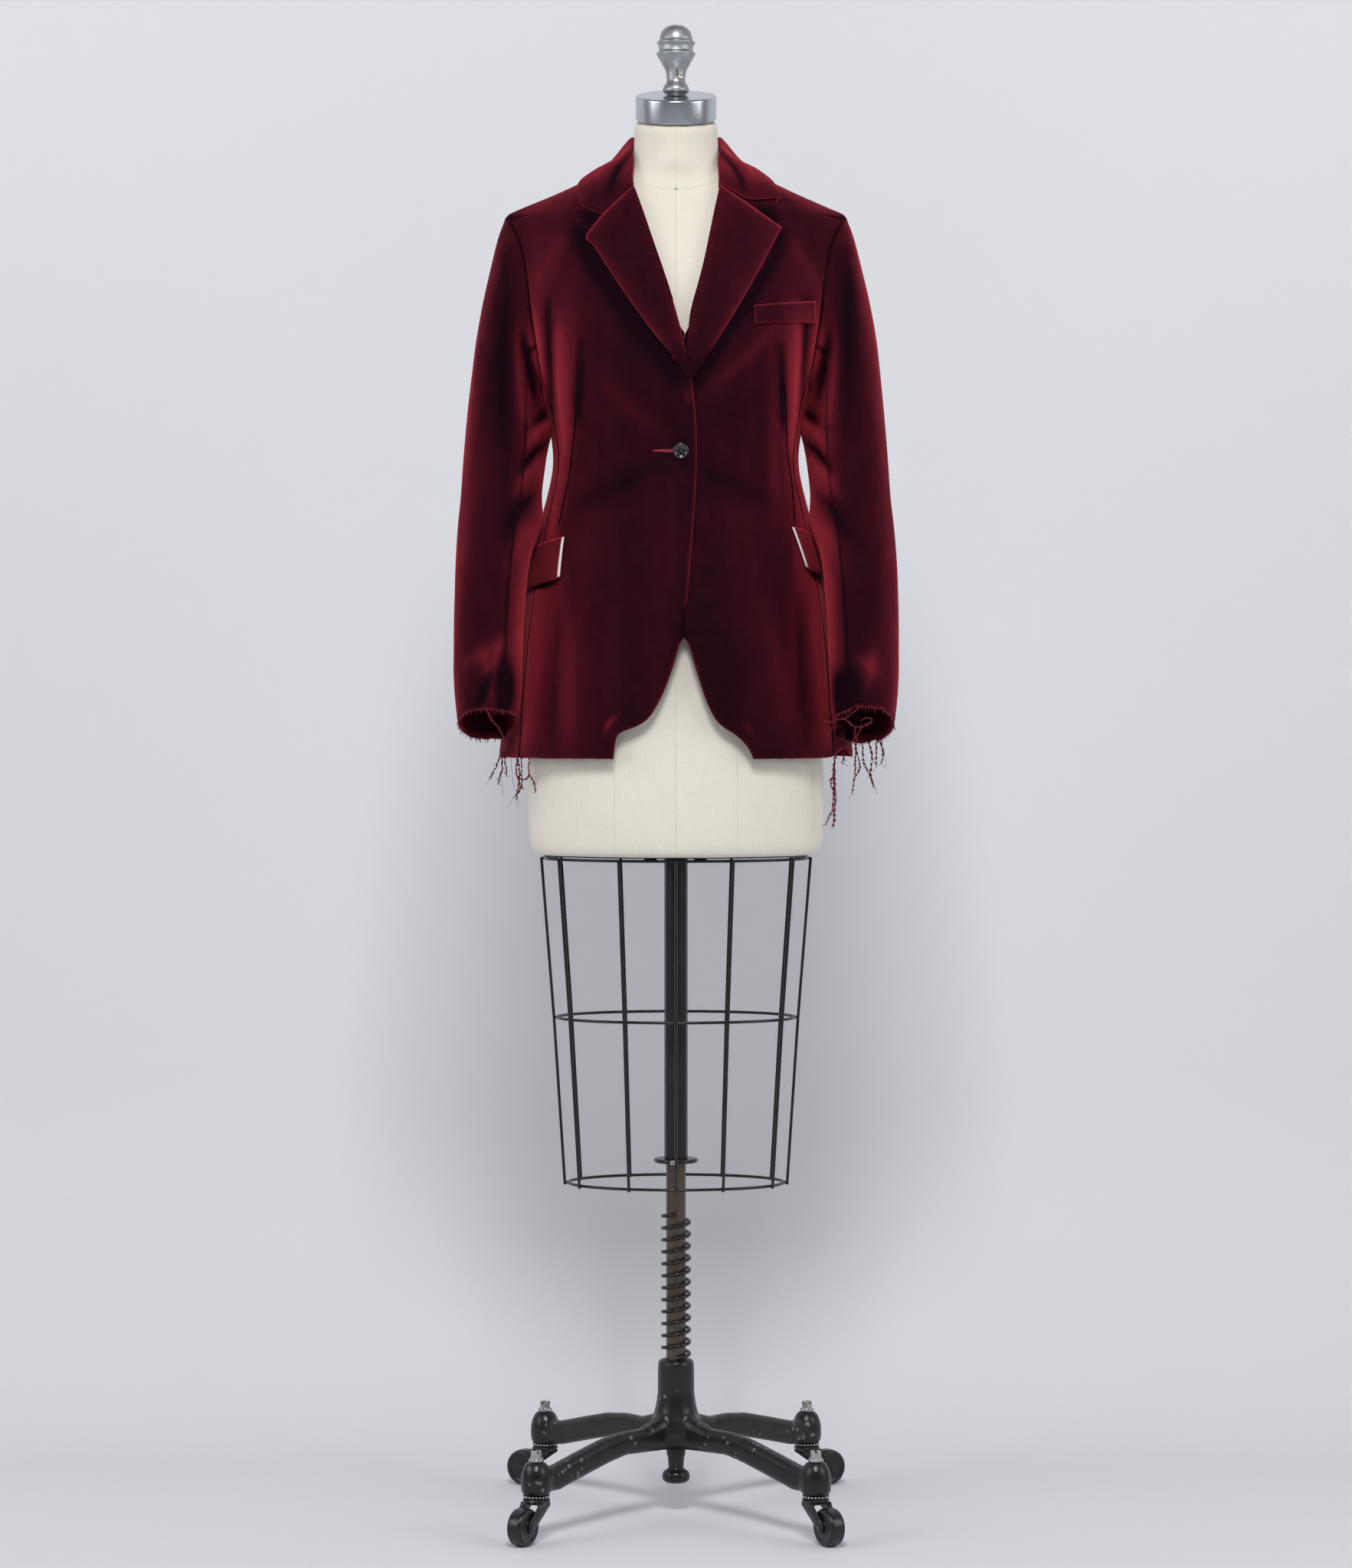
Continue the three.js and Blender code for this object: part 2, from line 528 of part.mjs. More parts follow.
/** Where the side body's seams meet the armhole: y and the angle on the body there. */
function seamTop(towards) {
  const y = armholeDepth(ARMHOLE.seamTop, towards);
  return { y, angle: angleAtDepth(ARMHOLE.seamTop, y) };
}
const SEAM_TOP = { front: seamTop(-1), back: seamTop(1) };

/** Angle where a front or back panel ends: side seam, then armhole, then shoulder seam. */
function panelSide(z, where) {
  const towards = where === 'front' ? -1 : 1;
  const rise = (z - HEM) / (ARMHOLE.seamTop - HEM);
  if (rise <= 1) return lerp(SIDE_SEAM_AT_HEM[where], SEAM_TOP[where].angle, rise);
  if (z < SHOULDER_TIP) return angleAtDepth(z, armholeDepth(z, towards));
  return 0;
}

/** Half a seam's gap as an angle at this place. */
function seamAngle(z, angle) {
  const step = 0.01;
  const reach = sectionPoint(JACKET, z, angle).distanceTo(sectionPoint(JACKET, z, angle + step));
  return (SEAM / 2 / reach) * step;
}

function bodyPanel(heights, columns, anglesAt, outAt = () => 0) {
  const grid = (depth) => heights.map((z) => {
    const [from, to] = anglesAt(z);
    const row = [];
    for (let j = 0; j <= columns; j += 1) {
      const angle = lerp(from, to, j / columns);
      const x = column(JACKET, 'wide', z) * cos(angle);
      row.push(jacketPoint(z, angle, outAt(x, z) - depth));
    }
    return row;
  });
  return [grid(0), grid(VELVET)];
}

const frontEdge = (edge, z) => angleAtX(z, column(edge, 'x', z));

function addFronts() {
  SIDES.forEach(({ side, sign }) => {
    const lapping = side === 'right';
    const edge = lapping ? LAPPING_EDGE : LAPPED_EDGE;
    const angles = (z) => {
      const end = panelSide(z, 'front');
      return [frontEdge(edge, z), end - seamAngle(z, end)];
    };
    const [outer, inner] = bodyPanel(
      FRONT_ROWS,
      PANEL_COLUMNS.front,
      angles,
      lapping ? lapLift : undefined,
    );
    add(`front_${side}`, clothWall(outer, inner, sign), velvet);
  });
}

function addBacks() {
  SIDES.forEach(({ side, sign }) => {
    const angles = (z) => {
      const start = panelSide(z, 'back');
      return [start + seamAngle(z, start), QUARTER - seamAngle(z, QUARTER)];
    };
    const [outer, inner] = bodyPanel(BACK_ROWS, PANEL_COLUMNS.back, angles);
    add(`back_${side}`, clothWall(outer, inner, sign), velvet);
  });
}

/** Side body: its top follows the bottom of the armhole between the two seams. */
function addSideBodies() {
  const columns = PANEL_COLUMNS.side;
  const level = BACK_ROWS.filter((z) => z <= ARMHOLE.seamTop);
  const lastLevel = level.length - 3;
  const grid = (depth) => level.map((rowZ, i) => {
    const line = [];
    for (let j = 0; j <= columns; j += 1) {
      const y = lerp(SEAM_TOP.front.y, SEAM_TOP.back.y, j / columns);
      const half = y < 0 ? ARMHOLE.front : ARMHOLE.back;
      const topZ = ARMHOLE.z - ARMHOLE.tall * sqrt(1 - (y / half) ** 2) - SLEEVE_HEAD_GAP;
      const rise = max(i - lastLevel, 0) / 2;
      const z = i > lastLevel ? lerp(level[lastLevel], topZ, rise) : rowZ;
      const hemAngle = lerp(SIDE_SEAM_AT_HEM.front, SIDE_SEAM_AT_HEM.back, j / columns);
      const angle = lerp(hemAngle, angleAtDepth(topZ, y), (z - HEM) / (topZ - HEM));
      const inset = (1 - (2 * j) / columns) * seamAngle(z, angle);
      line.push(jacketPoint(z, angle + inset, -depth));
    }
    return line;
  });
  const outer = grid(0);
  const inner = grid(VELVET);
  SIDES.forEach(({ side, sign }) => add(`side_${side}`, clothWall(outer, inner, sign), velvet));
}

// ---------------------------------------------------------------- sleeves
/** Rings of one sleeve from cuff to armhole; each is a function of the angle round the arm. */
function sleeveRings(slant) {
  const rings = SLEEVE.map((row, i) => (angle) => {
    const centreX = (row.outX + row.inX) / 2;
    const centreZ = (row.outZ + row.inZ) / 2;
    const cut = i === 0 ? slant * sin(angle) : 0;
    return new THREE.Vector3(
      centreX + ((row.outX - row.inX) / 2) * cos(angle),
      row.y - row.deep * sin(angle),
      centreZ + ((row.outZ - row.inZ) / 2) * cos(angle) + cut,
    );
  });
  rings.push((angle) => {
    const z = ARMHOLE.z + ARMHOLE.tall * cos(angle);
    const y = -sin(angle) * (sin(angle) > 0 ? ARMHOLE.front : ARMHOLE.back);
    const edge = sectionPoint(JACKET, z, angleAtDepth(z, y));
    return edge.add(new THREE.Vector3(SLEEVE_HEAD_GAP, 0, 0));
  });
  return rings;
}

function sleeveGrid(rings, from, to, columns) {
  const a = from + SLEEVE_SEAM;
  const b = to - SLEEVE_SEAM;
  return rings.map((ring) => {
    const row = [];
    for (let j = 0; j <= columns; j += 1) row.push(ring(lerp(a, b, j / columns)));
    return row;
  });
}

/** Inner face of a sleeve grid: its points moved towards the middle of the arm. */
function sleeveInside(rings, from, to, columns) {
  const outer = sleeveGrid(rings, from, to, columns);
  const step = 0.02;
  return outer.map((row, i) => row.map((point, j) => {
    const angle = lerp(from + SLEEVE_SEAM, to - SLEEVE_SEAM, j / columns);
    const around = rings[i](angle + step).sub(rings[i](angle - step));
    const below = rings[max(i - 1, 0)](angle);
    const above = rings[min(i + 1, rings.length - 1)](angle);
    const inward = around.cross(above.sub(below)).normalize();
    return point.clone().addScaledVector(inward, VELVET);
  }));
}

function addSleeves() {
  SIDES.forEach(({ side, sign }) => {
    const rings = sleeveRings(CUFF_SLANT[side]);
    const { from, to, columns } = TOP_SLEEVE;
    const pieces = [
      ['sleeve_top', from, to, columns],
      ['sleeve_under', to, from + 2 * PI, UNDER_SLEEVE_COLUMNS],
    ];
    pieces.forEach(([name, a, b, count]) => {
      const outer = sleeveGrid(rings, a, b, count);
      const inner = sleeveInside(rings, a, b, count);
      add(`${name}_${side}`, clothWall(outer, inner, sign), velvet);
    });
  });
}

// ---------------------------------------------------------------- lapels and collar
/** Lapel: rows from its foot to the gorge, columns from the roll line to the outer edge. */
function addLapel(side, sign, sizes, edge) {
  const lapping = side === 'right';
  const roll = (z) => {
    const x = column(edge, 'x', z);
    const covered = LEFT_LAPEL_SHOWS.from - (z - sizes.foot) * LEFT_LAPEL_SHOWS.slope;
    return lapping ? x : max(x, covered);
  };
  const footX = roll(sizes.foot) + sizes.footWide;
  const grid = (base) => {
    const lines = [];
    for (let i = 0; i <= LAPEL_ROWS; i += 1) {
      const up = i / LAPEL_ROWS;
      const rollZ = lerp(sizes.foot, GORGE_TOP, up);
      const rollX = roll(rollZ) + LAPEL_SHAPE.rollGap;
      const belly = sizes.belly * sin(PI * up);
      const outX = lerp(footX, sizes.tipX, up) + belly;
      const outZ = lerp(sizes.foot - 1, sizes.tipZ, up) - belly;
      const line = [];
      for (let j = 0; j <= LAPEL_COLUMNS; j += 1) {
        const across = j / LAPEL_COLUMNS;
        const notchAt = (sizes.notchX - rollX) / (sizes.tipX - rollX);
        const straightZ = lerp(GORGE_TOP, sizes.tipZ, notchAt);
        const peak = across < notchAt ? across / notchAt : (1 - across) / (1 - notchAt);
        const drop = sizes.notchZ - straightZ - LAPEL_SHAPE.notchGap;
        const bend = drop * max(peak, 0) * up ** LAPEL_SHAPE.notchFrom;
        const x = lerp(rollX, outX, across);
        const z = lerp(rollZ, outZ, across) + bend;
        const swell = LAPEL_SHAPE.swell * (1 - across) ** 3;
        line.push(frontPoint(x, z, base + swell, lapping));
      }
      lines.push(line);
    }
    return lines;
  };
  add(`lapel_${side}`, clothWall(grid(LAYER + VELVET), grid(LAYER), sign), velvet);
}

/** The point itself, or where it sinks below it the body's face moved out by a margin. */
function clearOfBody(point, margin) {
  if (point.z > NECK_TOP + margin) return point;
  const z = min(point.z, NECK_TOP);
  const deep = column(JACKET, point.y < 0 ? 'front' : 'back', z);
  const angle = Math.atan2(point.y / deep, point.x / column(JACKET, 'wide', z));
  const face = jacketPoint(z, angle, margin);
  const reach = Math.hypot(point.x, point.y) / Math.hypot(face.x, face.y);
  return reach > 1 ? point : face;
}

/** Collar leaf point: across runs from the fold line (0) to the outer edge (1). */
function collarPoint(turn, across, side, depth) {
  const at = (key) => column(COLLAR, key, turn, 'turn');
  const { bulge, rise, tipFrom, cornerAt, foldLean, edgeLean, tipLean } = COLLAR_SHAPE;
  const fold = new THREE.Vector3(at('foldX'), at('foldY'), at('foldZ'));
  const lie = LAYER + VELVET + COLLAR_EASE;
  const end = smooth((turn - tipFrom) / (1 - tipFrom));
  const tip = COLLAR_TIP[side];
  const edgeAngle = at('edgeAngle') * DEGREE;
  const edge = jacketPoint(at('edgeZ'), edgeAngle, lie).lerp(frontPoint(tip.x, tip.z, lie), end);
  const point = fold.clone().lerp(edge, across);
  const notch = side === 'right' ? LAPEL_RIGHT : LAPEL_LEFT;
  const corner = frontPoint(notch.notchX, notch.notchZ + LAPEL_SHAPE.notchGap, lie);
  const bend = corner.sub(fold.clone().lerp(edge, cornerAt));
  const hat = across < cornerAt ? across / cornerAt : (1 - across) / (1 - cornerAt);
  point.addScaledVector(bend, hat * end * end);
  const outward = new THREE.Vector3(fold.x, fold.y, 0).normalize();
  outward.z = rise;
  point.addScaledVector(outward.normalize(), bulge * sin(PI * across) * (1 - end));
  const lean = new THREE.Vector3(fold.x, fold.y, 0).normalize();
  lean.z = lerp(foldLean, edgeLean, across) + end * tipLean;
  point.addScaledVector(lean.normalize(), -depth);
  return clearOfBody(point, lie - depth);
}

/** Mirror image pairs of turns, from the right gorge round the back to the left one. */
function aroundNeck(turns, pointAt) {
  const right = turns.slice(1).reverse().map((turn) => pointAt(turn, 'right')
    .map((p) => new THREE.Vector3(-p.x, p.y, p.z)));
  const left = turns.map((turn) => pointAt(turn, 'left'));
  return [...right, ...left];
}

function addCollar() {
  const leaf = (depth) => aroundNeck(COLLAR_TURNS, (turn, side) => {
    const row = [];
    for (let j = 0; j <= COLLAR_COLUMNS; j += 1) {
      row.push(collarPoint(turn, j / COLLAR_COLUMNS, side, depth));
    }
    return row;
  });
  add('collar', wall(leaf(0), leaf(VELVET)), velvet);

  const stand = (depth) => aroundNeck(STAND_TURNS, (turn, side) => {
    const fold = collarPoint(turn, 0, side, VELVET + LAYER + depth);
    fold.z -= COLLAR_STAND.drop;
    const angle = column(COLLAR, 'edgeAngle', turn, 'turn') * DEGREE;
    const neck = jacketPoint(NECK_TOP - 1, angle, 0);
    const inward = new THREE.Vector3(neck.x, neck.y, 0).normalize();
    neck.addScaledVector(inward, -VELVET - COLLAR_STAND.neckGap - depth);
    return [fold, fold.clone().lerp(neck, 0.5), neck];
  });
  add('collar_stand', wall(stand(0), stand(VELVET)), velvet);
}

// ---------------------------------------------------------------- pockets, button and fringe
function addBreastWelt() {
  const { columns } = WELT;
  const grid = (base) => [0, 1].map((up) => {
    const row = [];
    for (let j = 0; j <= columns; j += 1) {
      const across = j / columns;
      const x = lerp(WELT.innerX, WELT.outerX, across);
      const z = lerp(WELT.innerZ, WELT.outerZ, across)
        + up * lerp(WELT.innerTall, WELT.outerTall, across);
      row.push(frontPoint(x, z, base));
    }
    return row;
  });
  add('breast_welt', wall(grid(LAYER + VELVET), grid(LAYER)), velvet);
}

/** Flap grid; `ahead` moves its front edge forward, `base` is its distance from the body. */
function flapGrid(side, base, ahead, drop) {
  const { columns, rows } = FLAP;
  const { frontX, topZ, sweep } = FLAP_FRONT[side];
  const lines = [];
  for (let i = 0; i <= rows; i += 1) {
    const down = i / rows;
    const line = [];
    for (let j = 0; j <= columns; j += 1) {
      const back = j / columns;
      const startX = frontX + sweep * down - ahead;
      const start = angleAtX(topZ, startX);
      const angle = lerp(start, FLAP.back, back);
      const arc = (angle - start) * frontX;
      const z = topZ - FLAP.slope * arc - down * (FLAP.tall - drop);
      const flare = (FLAP.flare * down * (FLAP.tall - drop) * (1 - back) ** 2) / FLAP.tall;
      line.push(jacketPoint(z, angle, base + flare));
    }
    lines.push(line);
  }
  return lines;
}

function addFlaps() {
  const under = LAYER + FLAP_LINING.cloth;
  SIDES.forEach(({ side, sign }) => {
    const outer = flapGrid(side, under + LAYER + FLAP.cloth, 0, 0);
    const inner = flapGrid(side, under + LAYER, 0, 0);
    add(`flap_${side}`, clothWall(outer, inner, sign), velvet);
    const liningOut = flapGrid(side, under, FLAP_LINING.proud, FLAP_LINING.inset);
    const liningIn = flapGrid(side, LAYER, FLAP_LINING.proud, FLAP_LINING.inset);
    add(`flap_lining_${side}`, clothWall(liningOut, liningIn, sign), whiteLining);
  });
}

function addButton() {
  const { radius, thick, rim, hole, pitch } = BUTTON;
  const body = outwardTurned([
    [0, 0], [radius - 1.5, 0], [radius, 1.2], [radius, thick - 0.6], [radius - 0.8, thick],
    [radius - 2.2, thick], [radius - 3.2, thick - rim], [0, thick - rim],
  ], 14);
  let solid = toSolid(body);
  [[1, 1], [1, -1], [-1, 1], [-1, -1]].forEach(([a, b]) => {
    const drill = new THREE.CylinderGeometry(hole, hole, thick * 3, 5).rotateX(QUARTER);
    drill.translate((a * pitch) / 2, (b * pitch) / 2, 0);
    solid = solid.subtract(toSolid(drill));
  });
  const seat = frontPoint(-BUTTON.x, BUTTON.z, BUTTON.shank, true);
  const ahead = frontPoint(-BUTTON.x, BUTTON.z, BUTTON.shank + 1, true).sub(seat);
  const mesh = add('button', fromSolid(solid), hornButton);
  mesh.position.set(-seat.x, seat.y, seat.z);
  const normal = new THREE.Vector3(-ahead.x, ahead.y, ahead.z).normalize();
  mesh.quaternion.setFromUnitVectors(new THREE.Vector3(0, 0, 1), normal);
}

function addFringes() {
  const hang = (z) => new THREE.Vector3(0, 0, z - HEM);
  const right = (depth) => [FRINGE.rightLow, HEM - SEAM].map((z) => {
    const row = [];
    for (let j = 0; j <= FRINGE.columns; j += 1) {
      const angle = lerp(FRINGE.rightFrom, FRINGE.rightTo, j / FRINGE.columns) * DEGREE;
      const point = jacketPoint(HEM, angle, -depth).add(hang(z));
      row.push(new THREE.Vector3(-point.x, point.y, z));
    }
    return row;
  });
  add('fringe_right', wall(right(0), right(FRINGE.thick)), velvet);

  const cuff = sleeveRings(CUFF_SLANT.left)[0];
  const left = (depth) => [0, 1].map((up) => {
    const row = [];
    for (let j = 0; j <= FRINGE.columns; j += 1) {
      const across = j / FRINGE.columns;
      const angle = lerp(FRINGE.leftFrom, FRINGE.leftTo, across) * DEGREE;
      const point = cuff(angle);
      const centre = new THREE.Vector3((SLEEVE[0].outX + SLEEVE[0].inX) / 2, SLEEVE[0].y, 0);
      const out = new THREE.Vector3(point.x - centre.x, point.y - centre.y, 0).normalize();
      const low = lerp(FRINGE.leftLow, FRINGE.leftHigh, across);
      const z = up ? point.z - FRINGE.gap : low;
      row.push(new THREE.Vector3(point.x, point.y, z).addScaledVector(out, -depth));
    }
    return row;
  });
  add('fringe_left', wall(left(0), left(FRINGE.thick)), velvet);
}

// ---------------------------------------------------------------- dress form
function addTorso() {
  const topZ = TORSO[TORSO.length - 1].z;
  const rings = TORSO.map(({ z }) => {
    const lean = smooth((z - NECK_TILT_FROM) / (topZ - NECK_TILT_FROM)) * NECK_TILT;
    const ring = [];
    for (let j = 0; j < TORSO_COLUMNS; j += 1) {
      const turn = (j / TORSO_COLUMNS) * 2 * PI;
      const angle = Math.asin(sin(turn));
      const point = sectionPoint(TORSO, z, angle);
      const x = cos(turn) < 0 ? -point.x : point.x;
      const rise = (point.y - column(TORSO, 'middle', z)) * tan(lean);
      ring.push(new THREE.Vector3(x, point.y, z + rise));
    }
    return ring;
  });
  add('form_torso', lofted(rings), canvas);
}

/** Frame tilted forward on the neck's top, at a distance along its axis. */
function neckFrame(up) {
  const top = TORSO[TORSO.length - 1];
  return new THREE.Matrix4()
    .makeTranslation(0, top.middle - up * sin(NECK_TILT), top.z + up * cos(NECK_TILT))
    .multiply(new THREE.Matrix4().makeRotationX(NECK_TILT));
}

function addNeckCapAndFinial() {
  const { radius, tall, edge, seat } = CAP;
  const cap = outwardTurned([
    [0, 0], [radius, 0], [radius, tall - edge], [radius - edge, tall], [0, tall],
  ], 28);
  add('neck_cap', cap.applyMatrix4(neckFrame(seat)), brushedSteel);

  const knob = outwardTurned(FINIAL, 14);
  const top = TORSO[TORSO.length - 1];
  knob.translate(0, top.middle - (tall + seat) * sin(NECK_TILT), 0);
  const reach = 60;
  const cutter = new THREE.BoxGeometry(2 * reach, 2 * reach, reach).translate(0, 0, -reach / 2);
  cutter.applyMatrix4(neckFrame(seat + tall + FINIAL_FOOT_GAP));
  add('finial', fromSolid(toSolid(knob).subtract(toSolid(cutter))), castAluminium);
}

function addBasePlate() {
  const outline = new THREE.Shape();
  outline.absellipse(0, 0, BASE_PLATE.wide, BASE_PLATE.deep, 0, 2 * PI);
  const plate = new THREE.ExtrudeGeometry(outline, {
    depth: BASE_PLATE.thick, bevelEnabled: false, curveSegments: 24,
  });
  const mesh = add('base_plate', closed(plate), blackEnamel);
  mesh.position.z = BASE_PLATE.top - BASE_PLATE.thick;
}

function addCage() {
  const reach = 2 * CAGE_WIRE + SEAM;
  HOOPS.forEach(({ name, z, wide, deep }) => {
    add(name, hoop(wide, deep, z, CAGE_WIRE, HOOP_SEGMENTS, 5), blackEnamel);
  });
  CAGE_WIRE_ANGLES.forEach((degrees, i) => {
    const angle = degrees * DEGREE;
    const rings = HOOPS.map(({ z, wide, deep }, level) => {
      const out = new THREE.Vector3(cos(angle) / wide, sin(angle) / deep, 0).normalize();
      const overrun = [CAGE_WIRE * 0.5, 0, -CAGE_WIRE * 1.5][level];
      const centre = new THREE.Vector3(wide * cos(angle), deep * sin(angle), z + overrun);
      centre.addScaledVector(out, reach);
      const ring = [];
      for (let k = 0; k < 6; k += 1) {
        const turn = (k / 6) * 2 * PI;
        const point = new THREE.Vector3(CAGE_WIRE * cos(turn), CAGE_WIRE * sin(turn), 0);
        ring.push(point.add(centre));
      }
      return ring;
    }).reverse();
    add(`cage_wire_${String(i + 1).padStart(2, '0')}`, lofted(rings), blackEnamel);
  });
}

function addMast() {
  const { outer, inner, top, low } = TUBE;
  const tube = outwardTurned([
    [inner, low], [outer, low], [outer, top], [inner, top], [inner, low],
  ], 20);
  add('mast_tube', tube, blackEnamel);

  const ring = CLAMP_RING;
  const base = ring.top - ring.thick;
  add('clamp_ring', outwardTurned([
    [ring.inner, base], [ring.outer - 1, base], [ring.outer, base + 1], [ring.outer, ring.top - 1],
    [ring.outer - 1, ring.top], [ring.inner, ring.top], [ring.inner, base],
  ], 24), blackEnamel);

  const screw = CLAMP_SCREW;
  const head = new THREE.CylinderGeometry(screw.radius, screw.radius - 0.6, screw.length, 12);
  const mesh = add('clamp_screw', closed(head), chrome);
  mesh.position.set(screw.x, -ring.outer - SEAM - screw.length / 2, ring.top - ring.thick / 2);
}

// ---------------------------------------------------------------- iron stand
function addRodAndSpring() {
  const { radius, top, low } = ROD;
  add('rod', outwardTurned([[0, low], [radius, low], [radius, top], [0, top]], 20), agedSteel);

  const foot = ROD_FOOT;
  add('rod_foot', outwardTurned([
    [0, foot.low], [foot.flare - 4, foot.low], [foot.flare, foot.low + 4],
    [foot.flare, foot.low + 10], [foot.neck, foot.low + 17], [foot.shoulder, foot.top],
    [0, foot.top],
  ], 16), blackIron);

  const { wire, mean, turns, steps, sides } = SPRING;
  class Helix extends THREE.Curve {
    getPoint(t, target = new THREE.Vector3()) {
      const angle = t * turns * 2 * PI - QUARTER;
      return target.set(mean * cos(angle), mean * sin(angle), lerp(SPRING.low, SPRING.top, t));
    }
  }
  add('spring', bar(new Helix(), wire, turns * steps, sides), blackEnamel);
}

/** One arched leg along +X, as rings of an eight-sided section. */
function legSolid() {
  const rings = LEG.map((row, i) => {
    const before = LEG[max(i - 1, 0)];
    const after = LEG[min(i + 1, LEG.length - 1)];
    const slope = Math.atan2(after.z - before.z, after.r - before.r);
    return LEG_OUTLINE.map(([side, up]) => new THREE.Vector3(
      row.r - (up * row.tall * sin(slope)) / 2,
      (side * row.wide) / 2,
      row.z + (up * row.tall * cos(slope)) / 2,
    ));
  });
  return lofted(rings);
}

function addCasting() {
  let casting = toSolid(outwardTurned(HUB.profile, 20));
  CASTERS.forEach(({ x, y }) => {
    const heading = Math.atan2(y * LEG_REACH.y, x * LEG_REACH.x);
    casting = casting.add(toSolid(legSolid().rotateZ(heading)));
    const { radius, low, top } = SOCKET;
    const bulb = outwardTurned([
      [0, low], [radius - 3, low], [radius - 0.5, low + 5], [radius, low + 18],
      [radius - 2, top - 9], [radius - 7, top], [0, top],
    ], 16);
    casting = casting.add(toSolid(bulb.translate(x * LEG_REACH.x, y * LEG_REACH.y, 0)));
  });
  CASTERS.forEach(({ x, y }) => {
    const depth = SOCKET.boreTop - SOCKET.low;
    const drill = new THREE.CylinderGeometry(SOCKET.bore, SOCKET.bore, 2 * depth, 12);
    drill.rotateX(QUARTER).translate(x * LEG_REACH.x, y * LEG_REACH.y, SOCKET.low);
    casting = casting.subtract(toSolid(drill));
  });
  const bore = new THREE.CylinderGeometry(HUB.bore, HUB.bore, 2 * HUB.top, 20);
  casting = casting.subtract(toSolid(bore.rotateX(QUARTER)));
  add('stand_casting', fromSolid(casting), blackIron);
}

/** Fork with its race, stem and axle; the swivel axis is the origin and the wheel trails to +X. */
function forkSolid() {
  const c = CASTER;
  const gap = c.wheelWide / 2 + c.sideGap;
  let solid = toSolid(outwardTurned([
    [0, c.raceLow], [c.race - 2, c.raceLow], [c.race, c.raceLow + 2], [c.race, c.raceTop - 2],
    [c.race - 2, c.raceTop], [c.stem, c.raceTop], [c.stem, c.stemTop], [0, c.stemTop],
  ], 12));
  const shape = new THREE.Shape();
  shape.moveTo(-c.cheekBack, c.raceLow + 1);
  shape.lineTo(c.trail - c.eye, c.axle - c.axleRadius);
  shape.absarc(c.trail, c.axle, c.eye, PI * 1.1, PI * 2.1);
  shape.lineTo(c.cheekFront, c.raceLow + 1);
  shape.closePath();
  [-1, 1].forEach((way) => {
    const cheek = new THREE.ExtrudeGeometry(shape, {
      depth: c.cheek, bevelEnabled: false, curveSegments: 5,
    });
    cheek.rotateX(QUARTER).translate(0, way > 0 ? gap + c.cheek : -gap, 0);
    solid = solid.add(toSolid(cheek));
  });
  const span = 2 * (gap + c.cheek) + c.axleRadius;
  const axle = new THREE.CylinderGeometry(c.axleRadius, c.axleRadius, span, 8);
  return fromSolid(solid.add(toSolid(axle.translate(c.trail, 0, c.axle))));
}

/** Wheel about the Y axis with one flat of its tread straight down. */
function wheelGeometry() {
  const c = CASTER;
  const half = c.wheelWide / 2;
  const tread = c.wheel / cos(PI / c.segments);
  return turned([
    [c.bore, -half], [9, -half], [11, -half + 2], [tread - 3.2, -half + 1], [tread, -half + 4],
    [tread, half - 4], [tread - 3.2, half - 1], [11, half - 2], [9, half], [c.bore, half],
    [c.bore, -half],
  ], c.segments, PI / c.segments);
}

function addCasters() {
  CASTERS.forEach(({ name, x, y, yaw }) => {
    const group = new THREE.Group();
    group.position.set(x * LEG_REACH.x, y * LEG_REACH.y, 0);
    object.add(group);
    const trailing = new THREE.Group();
    trailing.rotation.z = yaw * DEGREE;
    group.add(trailing);
    add(`caster_fork_${name}`, forkSolid(), blackIron, trailing);
    const wheel = add(`caster_wheel_${name}`, wheelGeometry(), blackRubber, trailing);
    wheel.position.set(CASTER.trail, 0, CASTER.axle);
    const nut = outwardTurned([
      [0, NUT.seat], [NUT.radius, NUT.seat], [NUT.radius, NUT.seat + 6], [6, NUT.seat + 7],
      [6, NUT.top - 1], [5, NUT.top], [0, NUT.top],
    ], 8);
    add(`stem_nut_${name}`, nut, chrome, group);
  });
}

addFronts();
addBacks();
addSideBodies();
addSleeves();
addLapel('right', -1, LAPEL_RIGHT, LAPPING_EDGE);
addLapel('left', 1, LAPEL_LEFT, LAPPED_EDGE);
addCollar();
addBreastWelt();
addFlaps();
addButton();
addFringes();
addTorso();
addNeckCapAndFinial();
addBasePlate();
addCage();
addMast();
addRodAndSpring();
addCasting();
addCasters();

export default object;
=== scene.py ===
"""Velvet hacking jacket on a dress form with a wire cage skirt: finished surfaces around the frame.

Everything is in metres in the frame's axes: +Z up, the jacket faces -Y, and +X is the wearer's left.
Sizes in the classes are in millimetres, as a maker writes them, and are turned into metres once.
"""

import logging
import math
import random
from dataclasses import dataclass, field
from enum import Enum

import bmesh
import bpy
import numpy as np
from mathutils import Matrix, Vector, kdtree
from mathutils.bvhtree import BVHTree


